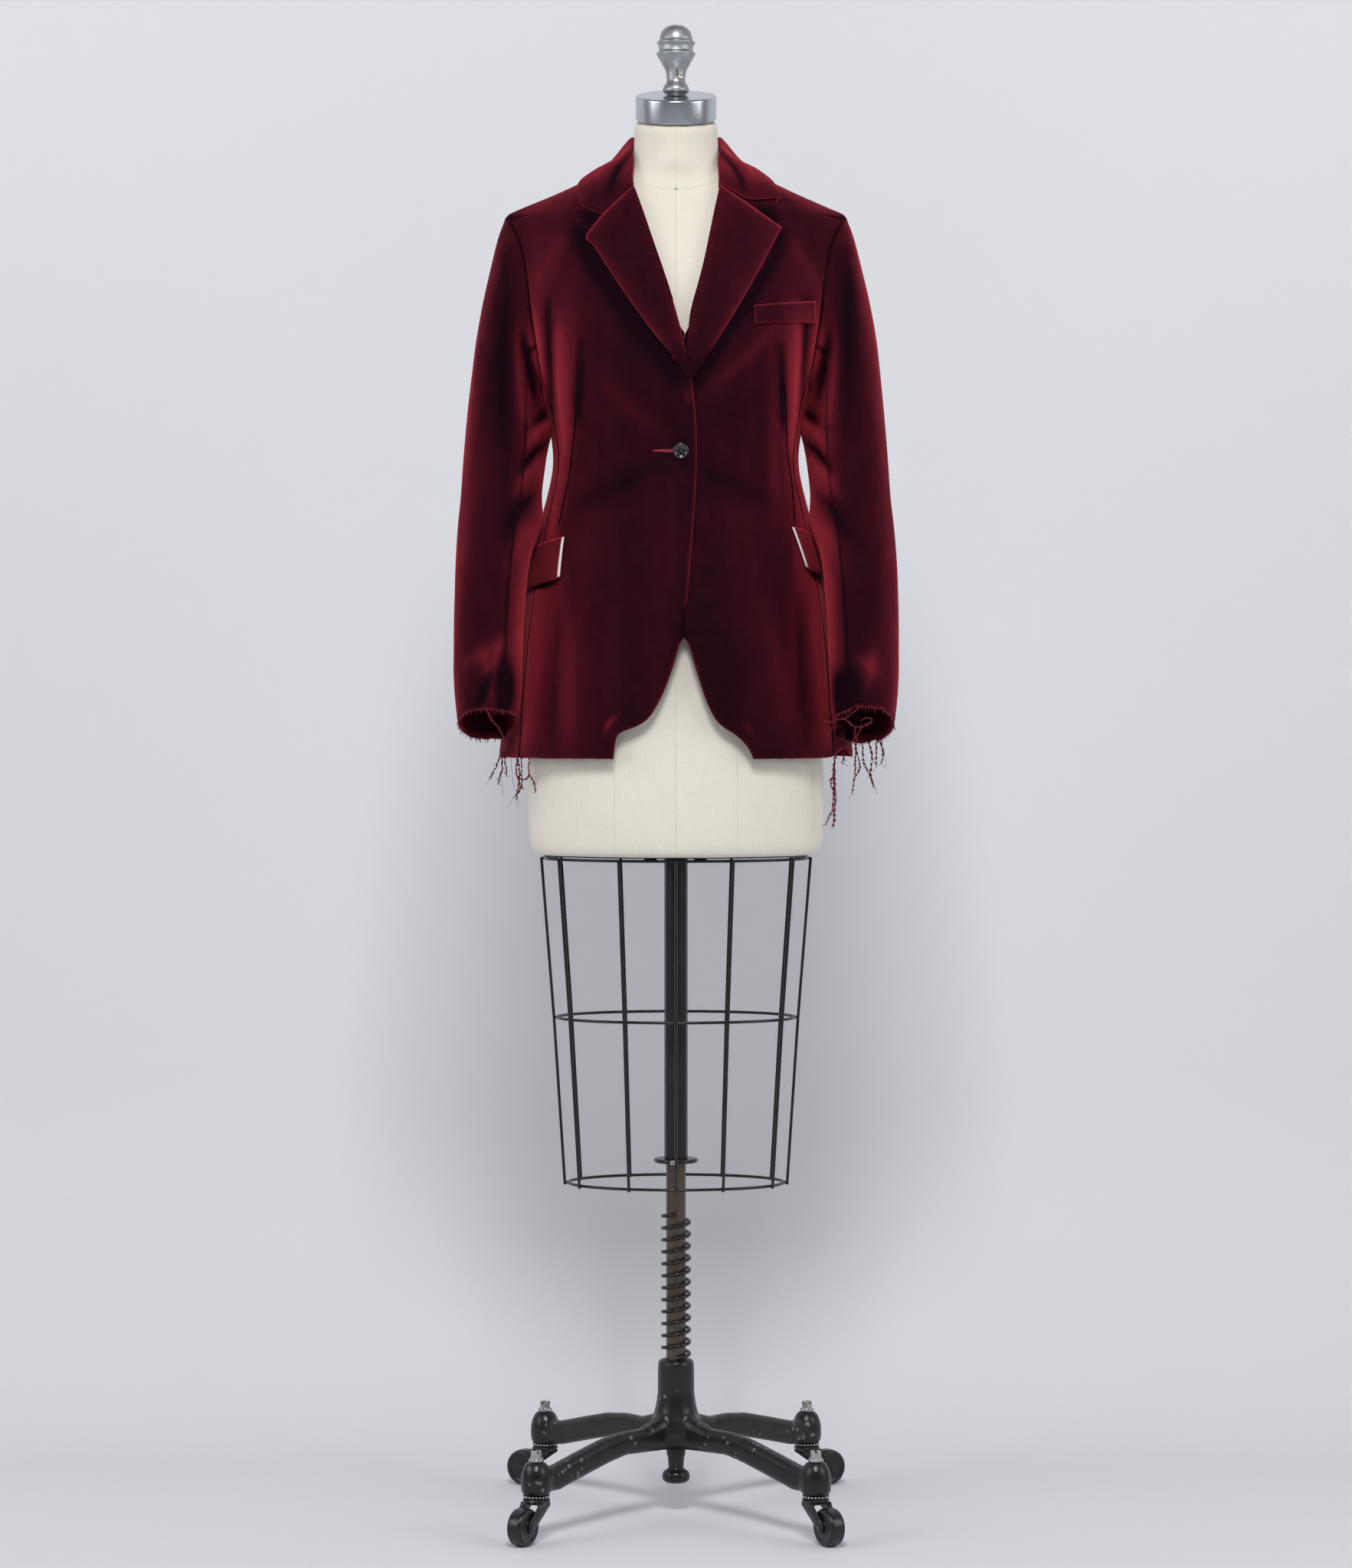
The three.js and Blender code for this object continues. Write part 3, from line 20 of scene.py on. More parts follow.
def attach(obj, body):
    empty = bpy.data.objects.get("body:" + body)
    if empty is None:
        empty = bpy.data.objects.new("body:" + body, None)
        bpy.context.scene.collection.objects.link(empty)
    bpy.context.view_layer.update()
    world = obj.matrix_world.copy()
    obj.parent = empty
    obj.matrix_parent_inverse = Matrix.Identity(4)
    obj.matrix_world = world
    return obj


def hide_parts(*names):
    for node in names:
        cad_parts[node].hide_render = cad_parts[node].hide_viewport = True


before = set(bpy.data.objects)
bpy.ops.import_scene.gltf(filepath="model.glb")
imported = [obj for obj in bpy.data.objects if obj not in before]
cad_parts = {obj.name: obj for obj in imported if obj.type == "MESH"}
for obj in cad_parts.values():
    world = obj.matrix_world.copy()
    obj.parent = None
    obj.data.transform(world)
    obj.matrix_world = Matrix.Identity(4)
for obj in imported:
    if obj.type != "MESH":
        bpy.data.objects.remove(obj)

log = logging.getLogger("hacking_jacket")
MM = 0.001
SEED = 17
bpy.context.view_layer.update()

Colour = tuple[float, float, float]
Pair = tuple[float, float]


# ------------------------------------------------------------------------------ shader maths
class Value:
    """A number that changes over a surface; arithmetic on it adds Math nodes."""

    def __init__(self, graph: "Graph", socket: bpy.types.NodeSocket) -> None:
        """Wraps one output socket of a graph."""
        self.graph = graph
        self.socket = socket

    def _math(self, operation: str, *terms: "Value | float") -> "Value":
        """One Math node on the terms."""
        node = self.graph.node("ShaderNodeMath", {"operation": operation}, dict(enumerate(terms)))
        return Value(self.graph, node.outputs[0])

    def __add__(self, other: "Value | float") -> "Value":
        """Sum."""
        return self._math("ADD", self, other)

    __radd__ = __add__

    def __sub__(self, other: "Value | float") -> "Value":
        """Difference."""
        return self._math("SUBTRACT", self, other)

    def __rsub__(self, other: float) -> "Value":
        """Difference from a number."""
        return self._math("SUBTRACT", other, self)

    def __mul__(self, other: "Value | float") -> "Value":
        """Product."""
        return self._math("MULTIPLY", self, other)

    __rmul__ = __mul__

    def __truediv__(self, other: "Value | float") -> "Value":
        """Quotient."""
        return self._math("DIVIDE", self, other)

    def __pow__(self, other: float) -> "Value":
        """Power."""
        return self._math("POWER", self, other)

    def __abs__(self) -> "Value":
        """Size without sign."""
        return self._math("ABSOLUTE", self)

    def least(self, other: "Value | float") -> "Value":
        """The smaller of two."""
        return self._math("MINIMUM", self, other)

    def most(self, other: "Value | float") -> "Value":
        """The larger of two."""
        return self._math("MAXIMUM", self, other)

    def wave(self) -> "Value":
        """Sine of the value."""
        return self._math("SINE", self)

    def rise(self, low: float, high: float) -> "Value":
        """Smooth step from 0 at low to 1 at high; falls when low is above high.

        Args:
            low: value where the result is 0.
            high: value where the result is 1.

        Returns:
            The step as a value.
        """
        settings = {"interpolation_type": "SMOOTHSTEP"}
        inputs = {0: self, 1: min(low, high), 2: max(low, high), 3: float(low > high), 4: float(low <= high)}
        return Value(self.graph, self.graph.node("ShaderNodeMapRange", settings, inputs).outputs[0])


class Graph:
    """The node tree of one material."""

    def __init__(self, name: str) -> None:
        """Starts an empty material of that name."""
        self.material = bpy.data.materials.new(name)
        self.material.use_nodes = True
        self.tree = self.material.node_tree
        self.tree.nodes.clear()

    def node(self, kind: str, settings: dict | None = None, inputs: dict | None = None) -> bpy.types.Node:
        """Adds one node.

        Args:
            kind: the node's type.
            settings: its own options, or "stops" for a ramp's (position, colour) pairs.
            inputs: values or links of its sockets, by name or number.

        Returns:
            The node.
        """
        node = self.tree.nodes.new(kind)
        for key, value in (settings or {}).items():
            if key == "stops":
                self._set_stops(node.color_ramp, value)
            else:
                setattr(node, key, value)
        for key, value in (inputs or {}).items():
            self._feed(node.inputs[key], value)
        return node

    @staticmethod
    def _set_stops(ramp: bpy.types.ColorRamp, stops: list[tuple[float, Colour]]) -> None:
        """Puts the stops into a colour ramp."""
        while len(ramp.elements) < len(stops):
            ramp.elements.new(1.0)
        for element, (position, colour) in zip(ramp.elements, stops):
            element.position = position
            element.color = (*colour, 1.0)

    def _feed(self, socket: bpy.types.NodeSocket, value: object) -> None:
        """Links or sets one socket."""
        if isinstance(value, Value):
            self.tree.links.new(value.socket, socket)
        elif isinstance(value, bpy.types.NodeSocket):
            self.tree.links.new(value, socket)
        elif socket.type == "RGBA" and len(value) == 3:
            socket.default_value = (*value, 1.0)
        else:
            socket.default_value = value

    def place(self, scale: tuple = (1, 1, 1), turn: tuple = (0, 0, 0)) -> bpy.types.NodeSocket:
        """Object coordinates, scaled and turned."""
        source = self.node("ShaderNodeTexCoord").outputs["Object"]
        inputs = {"Vector": source, "Scale": scale, "Rotation": turn}
        return self.node("ShaderNodeMapping", None, inputs).outputs[0]

    def axes(self) -> tuple[Value, Value, Value]:
        """Object coordinates as three values, in millimetres."""
        node = self.node("ShaderNodeSeparateXYZ", None, {0: self.place((1000, 1000, 1000))})
        return tuple(Value(self, node.outputs[i]) for i in range(3))

    def noise(self, scale: float, detail: float = 3, rough: float = 0.5, where: object = None) -> Value:
        """Soft noise from 0 to 1."""
        inputs = {"Vector": where or self.place(), "Scale": scale, "Detail": detail, "Roughness": rough}
        return Value(self, self.node("ShaderNodeTexNoise", None, inputs).outputs[0])

    def cells(self, scale: float, where: object = None, feature: str = "F1") -> Value:
        """Distance pattern of random cells."""
        inputs = {"Vector": where or self.place(), "Scale": scale}
        return Value(self, self.node("ShaderNodeTexVoronoi", {"feature": feature}, inputs).outputs["Distance"])

    def attribute(self, name: str) -> Value:
        """A number stored on the piece's points."""
        node = self.node("ShaderNodeAttribute", {"attribute_name": name})
        return Value(self, node.outputs["Fac"])

    def mix(self, share: Value, first: object, second: object) -> bpy.types.NodeSocket:
        """Colour between two, by a share."""
        settings = {"data_type": "RGBA"}
        node = self.node("ShaderNodeMix", settings, {0: share, 6: first, 7: second})
        return node.outputs[2]

    def ramp(self, value: Value, stops: list[tuple[float, Colour]]) -> bpy.types.NodeSocket:
        """Colour along a ramp."""
        return self.node("ShaderNodeValToRGB", {"stops": stops}, {0: value}).outputs[0]

    def along(self, value: Value, rows: tuple) -> Value:
        """Value of a table of (key, result) rows at a changing key, in straight steps."""
        total: Value | float = float(rows[0][1])
        for (key, result), (next_key, next_result) in zip(rows, rows[1:]):
            inputs = {0: value, 1: float(min(key, next_key)), 2: float(max(key, next_key))}
            inputs |= {3: float(next_result - result) if key > next_key else 0.0}
            inputs |= {4: 0.0 if key > next_key else float(next_result - result)}
            total = Value(self, self.node("ShaderNodeMapRange", None, inputs).outputs[0]) + total
        return total

    def bump(self, height: Value, depth: float, strength: float = 1.0) -> bpy.types.NodeSocket:
        """Normal of a height of 0 to 1 over a depth in millimetres."""
        inputs = {"Height": height, "Distance": depth * MM, "Strength": strength}
        return self.node("ShaderNodeBump", None, inputs).outputs[0]

    def facing(self, blend: float) -> Value:
        """How far the surface turns from the eye, for a painted sheen."""
        return Value(self, self.node("ShaderNodeLayerWeight", None, {"Blend": blend}).outputs["Facing"])

    def surface(self, **inputs: object) -> bpy.types.NodeSocket:
        """A Principled shader; an underscore in a name stands for a space."""
        named = {key.replace("_", " "): value for key, value in inputs.items()}
        return self.node("ShaderNodeBsdfPrincipled", None, named).outputs[0]

    def blend(self, share: Value | float, first: object, second: object) -> bpy.types.NodeSocket:
        """Mix of two shaders."""
        return self.node("ShaderNodeMixShader", None, {0: share, 1: first, 2: second}).outputs[0]

    def finish(self, shader: bpy.types.NodeSocket) -> bpy.types.Material:
        """Connects the shader and gives the material."""
        self.node("ShaderNodeOutputMaterial", None, {"Surface": shader})
        return self.material


# ------------------------------------------------------------------------------ finishes
@dataclass(frozen=True)
class Velvet:
    """Short cotton velvet: near black where it faces the eye, crimson where light grazes the pile."""

    name: str = "wine_velvet"
    # deep and wine colour the dark copy of the velvet; rose and crimson colour a lit copy, and mixing it in paints the
    # sheen.
    deep: Colour = (0.0070, 0.0008, 0.0040)
    wine: Colour = (0.0450, 0.0032, 0.0080)
    rose: Colour = (0.1100, 0.0080, 0.0160)
    crimson: Colour = (0.3900, 0.0300, 0.0480)
    tint: Colour = (1.0, 0.12, 0.17)
    darts: tuple = (
        ((1372, -108), (1338, -115), (1290, -119.5), (1240, -125.5), (1182, -138)),
        ((1366, 123), (1332, 128.5), (1270, 131), (1228, 137.5), (1186, 140)),
    )

    def make(self) -> bpy.types.Material:
        """Builds the material."""
        g = Graph(self.name)
        x, y, z = g.axes()
        brushed = g.noise(6.0, 4, 0.55, g.place((1.0, 1.0, 0.3)))
        streak = g.noise(26.0, 3, 0.55, g.place((1.0, 1.0, 0.16)))
        marks = g.noise(60.0, 4, 0.65)
        pile = g.noise(1300.0, 2, 0.7)
        # Painted highlight and shade kept on the cloth's points: a painted highlight along free edges and on raised
        # folds, and painted shade in hollow folds with a dark line along the seams.
        edge = g.attribute("edge")
        fold = g.attribute("fold")
        painted_shade = g.attribute("painted_shade")
        seam = self._dart_lines(x, y, z)
        nap = brushed.rise(0.34, 0.68) * 0.5 + streak.rise(0.38, 0.7) * 0.3 + marks.rise(0.35, 0.7) * 0.2
        # Painted highlight in bands on the fronts' sides beside the darts.
        painted_flank_light = self._painted_flank_light(x, z) * y.rise(60.0, 20.0)
        # Painted highlight: the collar is made lighter.
        collar = z.rise(1572.0, 1600.0)
        tone = (nap * 0.5 + painted_flank_light * 0.35 + fold * 0.5 + edge * 0.3 + collar * 0.3 + pile * 0.1 + 0.06 - painted_shade * 1.1
                - seam * 0.8)
        tone = tone.most(0.0).least(1.0)
        grain = g.bump(pile * 0.6 + marks * 0.3 - seam * 1.2, 0.4, 0.55)
        # A dark copy and a lit copy of the velvet; the lit one is a painted sheen.
        body = g.surface(Base_Color=g.mix(tone, self.deep, self.wine), Roughness=0.9, Sheen_Weight=0.03,
                         Sheen_Roughness=0.45, Sheen_Tint=(*self.tint, 1.0), Specular_IOR_Level=0.05, Normal=grain)
        sheen = g.surface(Base_Color=g.mix(tone, self.rose, self.crimson), Roughness=0.85, Sheen_Weight=0.25,
                          Sheen_Roughness=0.35, Sheen_Tint=(*self.tint, 1.0), Specular_IOR_Level=0.05,
                          Normal=grain)
        # The lit copy is mixed in where the cloth turns from the eye and on the painted highlights, and less in the
        # painted shade.
        graze = g.facing(0.5) ** 1.9
        share = (graze * (0.5 + nap * 0.9 + painted_flank_light * 0.6) + painted_flank_light * 0.08 + edge * 0.2 + fold * 0.26 + nap * 0.03
                 + collar * 0.1 - painted_shade * 0.6 - seam * 0.3)
        return g.finish(g.blend(share.most(0.0).least(1.0), body, sheen))

    def _painted_flank_light(self, x: Value, z: Value) -> Value:
        """1 on the pressed side of each dart, a painted highlight band where the front turns from the eye, fading up
        and down.
        """
        high = z.rise(1500.0, 1380.0) * z.rise(840.0, 1000.0)
        right = (x.graph.along(z, (*self.darts[0], (1090, -124), (905, -118))) - x).rise(-8.0, 14.0)
        left = (x - x.graph.along(z, (*self.darts[1], (1090, 130), (905, 128)))).rise(-8.0, 14.0)
        outer = abs(x).rise(200.0, 176.0)
        return right.most(left) * high * outer

    def _dart_lines(self, x: Value, y: Value, z: Value) -> Value:
        """1 along the two sewn waist darts of the fronts."""
        lines = []
        for rows in self.darts:
            line = x.graph.along(z, rows)
            here = z.rise(rows[-1][0] - 4.0, rows[-1][0] + 2.0) * z.rise(rows[0][0] + 4.0, rows[0][0] - 2.0)
            lines.append(abs(x - line).rise(1.5, 0.3) * here)
        return lines[0].most(lines[1]) * y.rise(-30.0, -40.0)


@dataclass(frozen=True)
class Thread:
    """Loose velvet yarn and stitches, brighter than the cloth."""

    name: str
    dark: Colour
    light: Colour
    twist: float = 900.0

    def make(self) -> bpy.types.Material:
        """Builds the material."""
        g = Graph(self.name)
        _x, _y, z = g.axes()
        ply = (z * 4.5 + g.noise(160.0) * 6.0).wave() * 0.5 + 0.5
        fuzz = g.noise(self.twist, 3, 0.7)
        colour = g.mix((ply * 0.6 + fuzz * 0.4).rise(0.25, 0.8), self.dark, self.light)
        shader = g.surface(Base_Color=colour, Roughness=0.85, Sheen_Weight=0.5,
                           Sheen_Tint=(*self.light, 1.0), Specular_IOR_Level=0.2,
                           Normal=g.bump(ply * 0.6 + fuzz * 0.4, 0.2, 0.6))
        return g.finish(shader)


@dataclass(frozen=True)
class Weave:
    """Plain woven cloth with its threads, slubs and, where asked, the form's sewn gore seams."""

    name: str
    light: Colour
    dark: Colour
    pitch: float = 0.62
    seams: bool = False
    neck_seam: Pair = (1576.6, 11.4)
    gore: float = 72.0

    def make(self) -> bpy.types.Material:
        """Builds the material."""
        g = Graph(self.name)
        x, y, z = g.axes()
        wobble = g.noise(60.0, 2) * 1.4
        turns = 2 * math.pi / self.pitch
        across = ((x + y + wobble) * turns).wave() * 0.5 + 0.5
        along = ((z + wobble) * turns).wave() * 0.5 + 0.5
        slub = g.noise(90.0, 4, 0.6, g.place((1.0, 1.0, 9.0)))
        slub_up = g.noise(90.0, 4, 0.6, g.place((7.0, 7.0, 0.8)))
        patch = g.noise(4.0, 4, 0.6)
        threads = across.most(along) * 0.7 + slub * 0.2 + slub_up * 0.2
        shade = (patch * 0.45 + slub * 0.3 + slub_up * 0.3 + threads * 0.15).rise(0.35, 0.85)
        colour = g.mix(shade, self.dark, self.light)
        height = threads
        if self.seams:
            seam = self._seam_mask(x, y, z)
            colour = g.mix(seam * 0.8, colour, self.dark)
            height = threads * 0.25 + (1 - seam) * 0.75
        normal = g.bump(height, 0.55 if self.seams else 0.2, 0.55)
        shader = g.surface(Base_Color=colour, Roughness=0.9, Sheen_Weight=0.15, Sheen_Roughness=0.5,
                           Specular_IOR_Level=0.15, Normal=normal)
        return g.finish(shader)

    def _seam_mask(self, x: Value, y: Value, z: Value) -> Value:
        """1 in the narrow grooves of the centre, princess, side and neck seams."""
        centre = abs(x).rise(1.1, 0.4)
        gore_at = abs(x) - (self.gore + abs(z - 850.0).rise(140.0, 420.0) * -8.0)
        gores = abs(gore_at).rise(0.9, 0.3) * z.rise(1560.0, 1540.0)
        sides = abs(y).rise(0.9, 0.3) * z.rise(1560.0, 1540.0)
        low, bow = self.neck_seam
        collar_line = z - (x / 52.0) ** 2.0 * bow
        neck = abs(collar_line - low).rise(1.4, 0.5) * y.rise(5.0, 0.0)
        back_neck = abs(z - (low + bow)).rise(1.0, 0.3) * y.rise(0.0, 5.0)
        return centre.most(gores).most(sides).most(neck).most(back_neck)


@dataclass(frozen=True)
class Metal:
    """Bare metal with brushing, scratches and a little tarnish."""

    name: str
    light: Colour
    dark: Colour
    rough: Pair = (0.18, 0.42)
    stretch: tuple = (1.0, 1.0, 1.0)
    grain: float = 300.0
    stain: float = 40.0
    depth: float = 0.05

    def make(self) -> bpy.types.Material:
        """Builds the material."""
        g = Graph(self.name)
        brush = g.noise(self.grain, 4, 0.65, g.place(self.stretch))
        stain = g.noise(self.stain, 5, 0.6)
        pits = g.cells(900.0).rise(0.25, 0.1) * stain.rise(0.5, 0.7)
        colour = g.mix((stain.rise(0.3, 0.75) * 0.7 + brush * 0.3), self.dark, self.light)
        low, high = self.rough
        shader = g.surface(Base_Color=colour, Metallic=1.0, Normal=g.bump(brush - pits * 0.6, self.depth, 0.5),
                           Roughness=(brush * 0.6 + stain * 0.4) * (high - low) + low)
        return g.finish(shader)


@dataclass(frozen=True)
class Enamel:
    """Black enamel over iron or steel: orange peel, dust, and chips to grey metal where it is worn."""

    name: str
    paint: Colour = (0.008, 0.008, 0.009)
    dust: Colour = (0.030, 0.030, 0.031)
    metal: Colour = (0.22, 0.21, 0.20)
    rough: Pair = (0.18, 0.38)
    chips: float = 0.0
    lumps: float = 0.0

    def make(self) -> bpy.types.Material:
        """Builds the material."""
        g = Graph(self.name)
        peel = g.noise(420.0, 2)
        cloud = g.noise(30.0, 5, 0.6)
        flow = g.noise(75.0, 3, 0.5)
        spots = g.cells(110.0).rise(0.34, 0.22) * g.noise(24.0, 4, 0.7).rise(0.62 - self.chips, 0.70 - self.chips)
        scratch = g.noise(240.0, 5, 0.8, g.place((1.0, 5.0, 1.0))).rise(0.70, 0.76) * cloud.rise(0.45, 0.6)
        worn = (spots + scratch).least(1.0) * min(self.chips * 8.0, 1.0)
        colour = g.mix(cloud.rise(0.4, 0.9) * 0.5, self.paint, self.dust)
        colour = g.mix(worn, colour, self.metal)
        low, high = self.rough
        height = peel * 0.15 + flow * self.lumps - worn * 0.4
        shader = g.surface(Base_Color=colour, Metallic=worn * 0.8, Specular_IOR_Level=0.4,
                           Roughness=cloud * (high - low) + low + worn * 0.25,
                           Normal=g.bump(height, 0.5, 0.5))
        return g.finish(shader)


@dataclass(frozen=True)
class Hard:
    """Moulded or turned hard stuff, such as horn or rubber: faint marbling, scuffs and dust."""

    name: str
    dark: Colour
    light: Colour
    rough: Pair
    scale: float = 90.0
    coat: float = 0.0

    def make(self) -> bpy.types.Material:
        """Builds the material."""
        g = Graph(self.name)
        marble = g.noise(self.scale, 5, 0.6)
        scuff = g.noise(self.scale * 9, 4, 0.75).rise(0.55, 0.75)
        low, high = self.rough
        colour = g.mix((marble * 0.6 + scuff * 0.4).rise(0.35, 0.8), self.dark, self.light)
        shader = g.surface(Base_Color=colour, Roughness=scuff * (high - low) + low, Coat_Weight=self.coat,
                           Normal=g.bump(scuff * 0.5 + marble * 0.5, 0.06, 0.4))
        return g.finish(shader)


@dataclass(frozen=True)
class Studio:
    """Matt painted backdrop, clear from behind so that it hides nothing in other views."""

    name: str = "backdrop_paint"
    colour: Colour = (0.70, 0.71, 0.745)

    def make(self) -> bpy.types.Material:
        """Builds the material."""
        g = Graph(self.name)
        soft = g.noise(0.8, 3)
        paler = tuple(min(c * 1.05, 1.0) for c in self.colour)
        colour = g.mix(soft, self.colour, paler)
        paint = g.surface(Base_Color=colour, Roughness=0.8, Specular_IOR_Level=0.2)
        behind = Value(g, g.node("ShaderNodeNewGeometry").outputs["Backfacing"])
        return g.finish(g.blend(behind, paint, g.node("ShaderNodeBsdfTransparent").outputs[0]))


class Finishes:
    """Every finish of the object, each made once."""

    def __init__(self) -> None:
        """Builds the materials."""
        self.velvet = Velvet().make()
        self.yarn = Thread("velvet_yarn", (0.035, 0.003, 0.008), (0.22, 0.020, 0.040)).make()
        self.stitch = Thread("buttonhole_twist", (0.16, 0.010, 0.022), (0.42, 0.055, 0.085)).make()
        self.black_thread = Thread("button_thread", (0.004, 0.004, 0.005), (0.03, 0.03, 0.035)).make()
        self.lining = Weave("white_lining", (0.80, 0.77, 0.72), (0.62, 0.58, 0.53), 0.4).make()
        self.canvas = Weave("form_canvas", (0.775, 0.735, 0.650), (0.665, 0.620, 0.530), 0.62, True).make()
        self.horn = Hard("dark_horn", (0.010, 0.010, 0.014), (0.05, 0.055, 0.075), (0.08, 0.25), 120.0, 0.6).make()
        self.rubber = Hard("hard_rubber", (0.007, 0.007, 0.008), (0.03, 0.03, 0.03), (0.28, 0.5)).make()
        self.cap = Metal("polished_cap", (0.56, 0.59, 0.63), (0.40, 0.43, 0.47), (0.13, 0.32),
                         (14.0, 14.0, 0.4), 60.0).make()
        self.alloy = Metal("tumbled_alloy", (0.50, 0.52, 0.54), (0.28, 0.29, 0.31), (0.34, 0.55),
                           (1.0, 1.0, 6.0), 140.0, 90.0, 0.12).make()
        self.chrome = Metal("worn_plating", (0.62, 0.62, 0.62), (0.30, 0.29, 0.28), (0.12, 0.45), grain=500.0).make()
        self.rod = Metal("browned_steel", (0.17, 0.135, 0.11), (0.075, 0.058, 0.048), (0.30, 0.52),
                         (8.0, 8.0, 0.6), 120.0, 25.0, 0.06).make()
        self.wire = Enamel("wire_enamel").make()
        self.tube = Enamel("mast_enamel", rough=(0.16, 0.30), chips=0.03).make()
        self.iron = Enamel("iron_enamel", rough=(0.20, 0.42), chips=0.10, lumps=0.9).make()


# ------------------------------------------------------------------------------ mesh helpers
class Bench:
    """Small mesh operations that several pieces share."""

    @staticmethod
    def smooth(mesh: bpy.types.Mesh) -> None:
        """Shades every face smooth."""
        mesh.polygons.foreach_set("use_smooth", np.ones(len(mesh.polygons), bool))

    @staticmethod
    def piece(name: str, mesh: bpy.types.Mesh, material: bpy.types.Material) -> bpy.types.Object:
        """A new object at the origin with one material."""
        mesh.materials.clear()
        mesh.materials.append(material)
        piece = bpy.data.objects.new(name, mesh)
        bpy.context.scene.collection.objects.link(piece)
        return piece

    @staticmethod
    def from_bmesh(name: str, bm: bmesh.types.BMesh, material: bpy.types.Material,
                   rounded: bool = True) -> bpy.types.Object:
        """Turns a bmesh into an object and frees it."""
        mesh = bpy.data.meshes.new(name)
        bm.to_mesh(mesh)
        bm.free()
        if rounded:
            Bench.smooth(mesh)
        return Bench.piece(name, mesh, material)

    @staticmethod
    def applied(piece: bpy.types.Object) -> bpy.types.Object:
        """Applies the modifiers of a piece."""
        graph = bpy.context.evaluated_depsgraph_get()
        graph.update()
        mesh = bpy.data.meshes.new_from_object(piece.evaluated_get(graph))
        piece.modifiers.clear()
        old = piece.data
        piece.data = mesh
        bpy.data.meshes.remove(old)
        return piece

    @staticmethod
    def merged(node: str) -> bmesh.types.BMesh:
        """A merged copy of a node's mesh."""
        bm = bmesh.new()
        bm.from_mesh(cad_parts[node].data)
        bmesh.ops.remove_doubles(bm, verts=bm.verts, dist=1e-5)
        bm.normal_update()
        return bm

    @staticmethod
    def subdivide(piece: bpy.types.Object, levels: int) -> bpy.types.Object:
        """Adds a live subdivision surface."""
        modifier = piece.modifiers.new("fine", "SUBSURF")
        modifier.levels = levels
        modifier.render_levels = levels
        return piece

    @staticmethod
    def lathe(profile: list[Pair], segments: int, place: Matrix | None = None) -> bmesh.types.BMesh:
        """A turned solid.

        Args:
            profile: (radius, height) pairs in millimetres; it ends on the axis or on its start.
            segments: steps round the axis.
            place: where the turned piece goes.

        Returns:
            The solid as a bmesh.
        """
        bm = bmesh.new()
        points = [bm.verts.new((radius * MM, 0, height * MM)) for radius, height in profile]
        edges = [bm.edges.new(pair) for pair in zip(points, points[1:])]
        bmesh.ops.spin(bm, geom=points + edges, cent=(0, 0, 0), axis=(0, 0, 1), angle=2 * math.pi,
                       steps=segments, use_merge=True)
        bmesh.ops.remove_doubles(bm, verts=bm.verts, dist=1e-6)
        bmesh.ops.recalc_face_normals(bm, faces=bm.faces)
        if place is not None:
            bmesh.ops.transform(bm, matrix=place, verts=bm.verts)
        return bm

    @staticmethod
    def rounded_profile(corners: list[tuple[float, float, float]], steps: int = 4) -> list[Pair]:
        """A turning profile with rounded corners.

        Args:
            corners: (radius, height, round) rows in millimetres.
            steps: points on each rounded corner.

        Returns:
            (radius, height) pairs.
        """
        points: list[Pair] = []
        for i, (r, z, soft) in enumerate(corners):
            if soft <= 0 or i in (0, len(corners) - 1):
                points.append((r, z))
                continue
            here = Vector((r, z))
            before = Vector(corners[i - 1][:2]) - here
            after = Vector(corners[i + 1][:2]) - here
            start = here + before.normalized() * min(soft, before.length * 0.49)
            end = here + after.normalized() * min(soft, after.length * 0.49)
            for k in range(steps + 1):
                t = k / steps
                spot = start * (1 - t) ** 2 + here * 2 * t * (1 - t) + end * t * t
                points.append((max(spot.x, 0.0), spot.y))
        return points

    @staticmethod
    def wires(name: str, lines: list[list[Vector]], radius: float, material: bpy.types.Material,
              closed: bool = False, sides: int = 3, swell: list[list[float]] | None = None) -> bpy.types.Object:
        """Round wires or threads along lines of points, as one mesh.

        Args:
            name: the piece's name.
            lines: points of each wire, in metres.
            radius: half the wire's thickness, in millimetres.
            material: its finish.
            closed: whether each line closes on itself.
            sides: roundness of the section.
            swell: how thick each point is, as a share of the radius.

        Returns:
            The piece.
        """
        curve = bpy.data.curves.new(name, "CURVE")
        curve.dimensions = "3D"
        curve.bevel_depth = radius * MM
        curve.bevel_resolution = sides
        curve.use_fill_caps = True
        for n, line in enumerate(lines):
            spline = curve.splines.new("POLY")
            spline.points.add(len(line) - 1)
            for i, point in enumerate(line):
                spline.points[i].co = (*point, 1.0)
                spline.points[i].radius = swell[n][i] if swell else 1.0
            spline.use_cyclic_u = closed
        holder = bpy.data.objects.new(name, curve)
        bpy.context.scene.collection.objects.link(holder)
        graph = bpy.context.evaluated_depsgraph_get()
        mesh = bpy.data.meshes.new_from_object(holder.evaluated_get(graph))
        bpy.data.objects.remove(holder)
        bpy.data.curves.remove(curve)
        Bench.smooth(mesh)
        return Bench.piece(name, mesh, material)

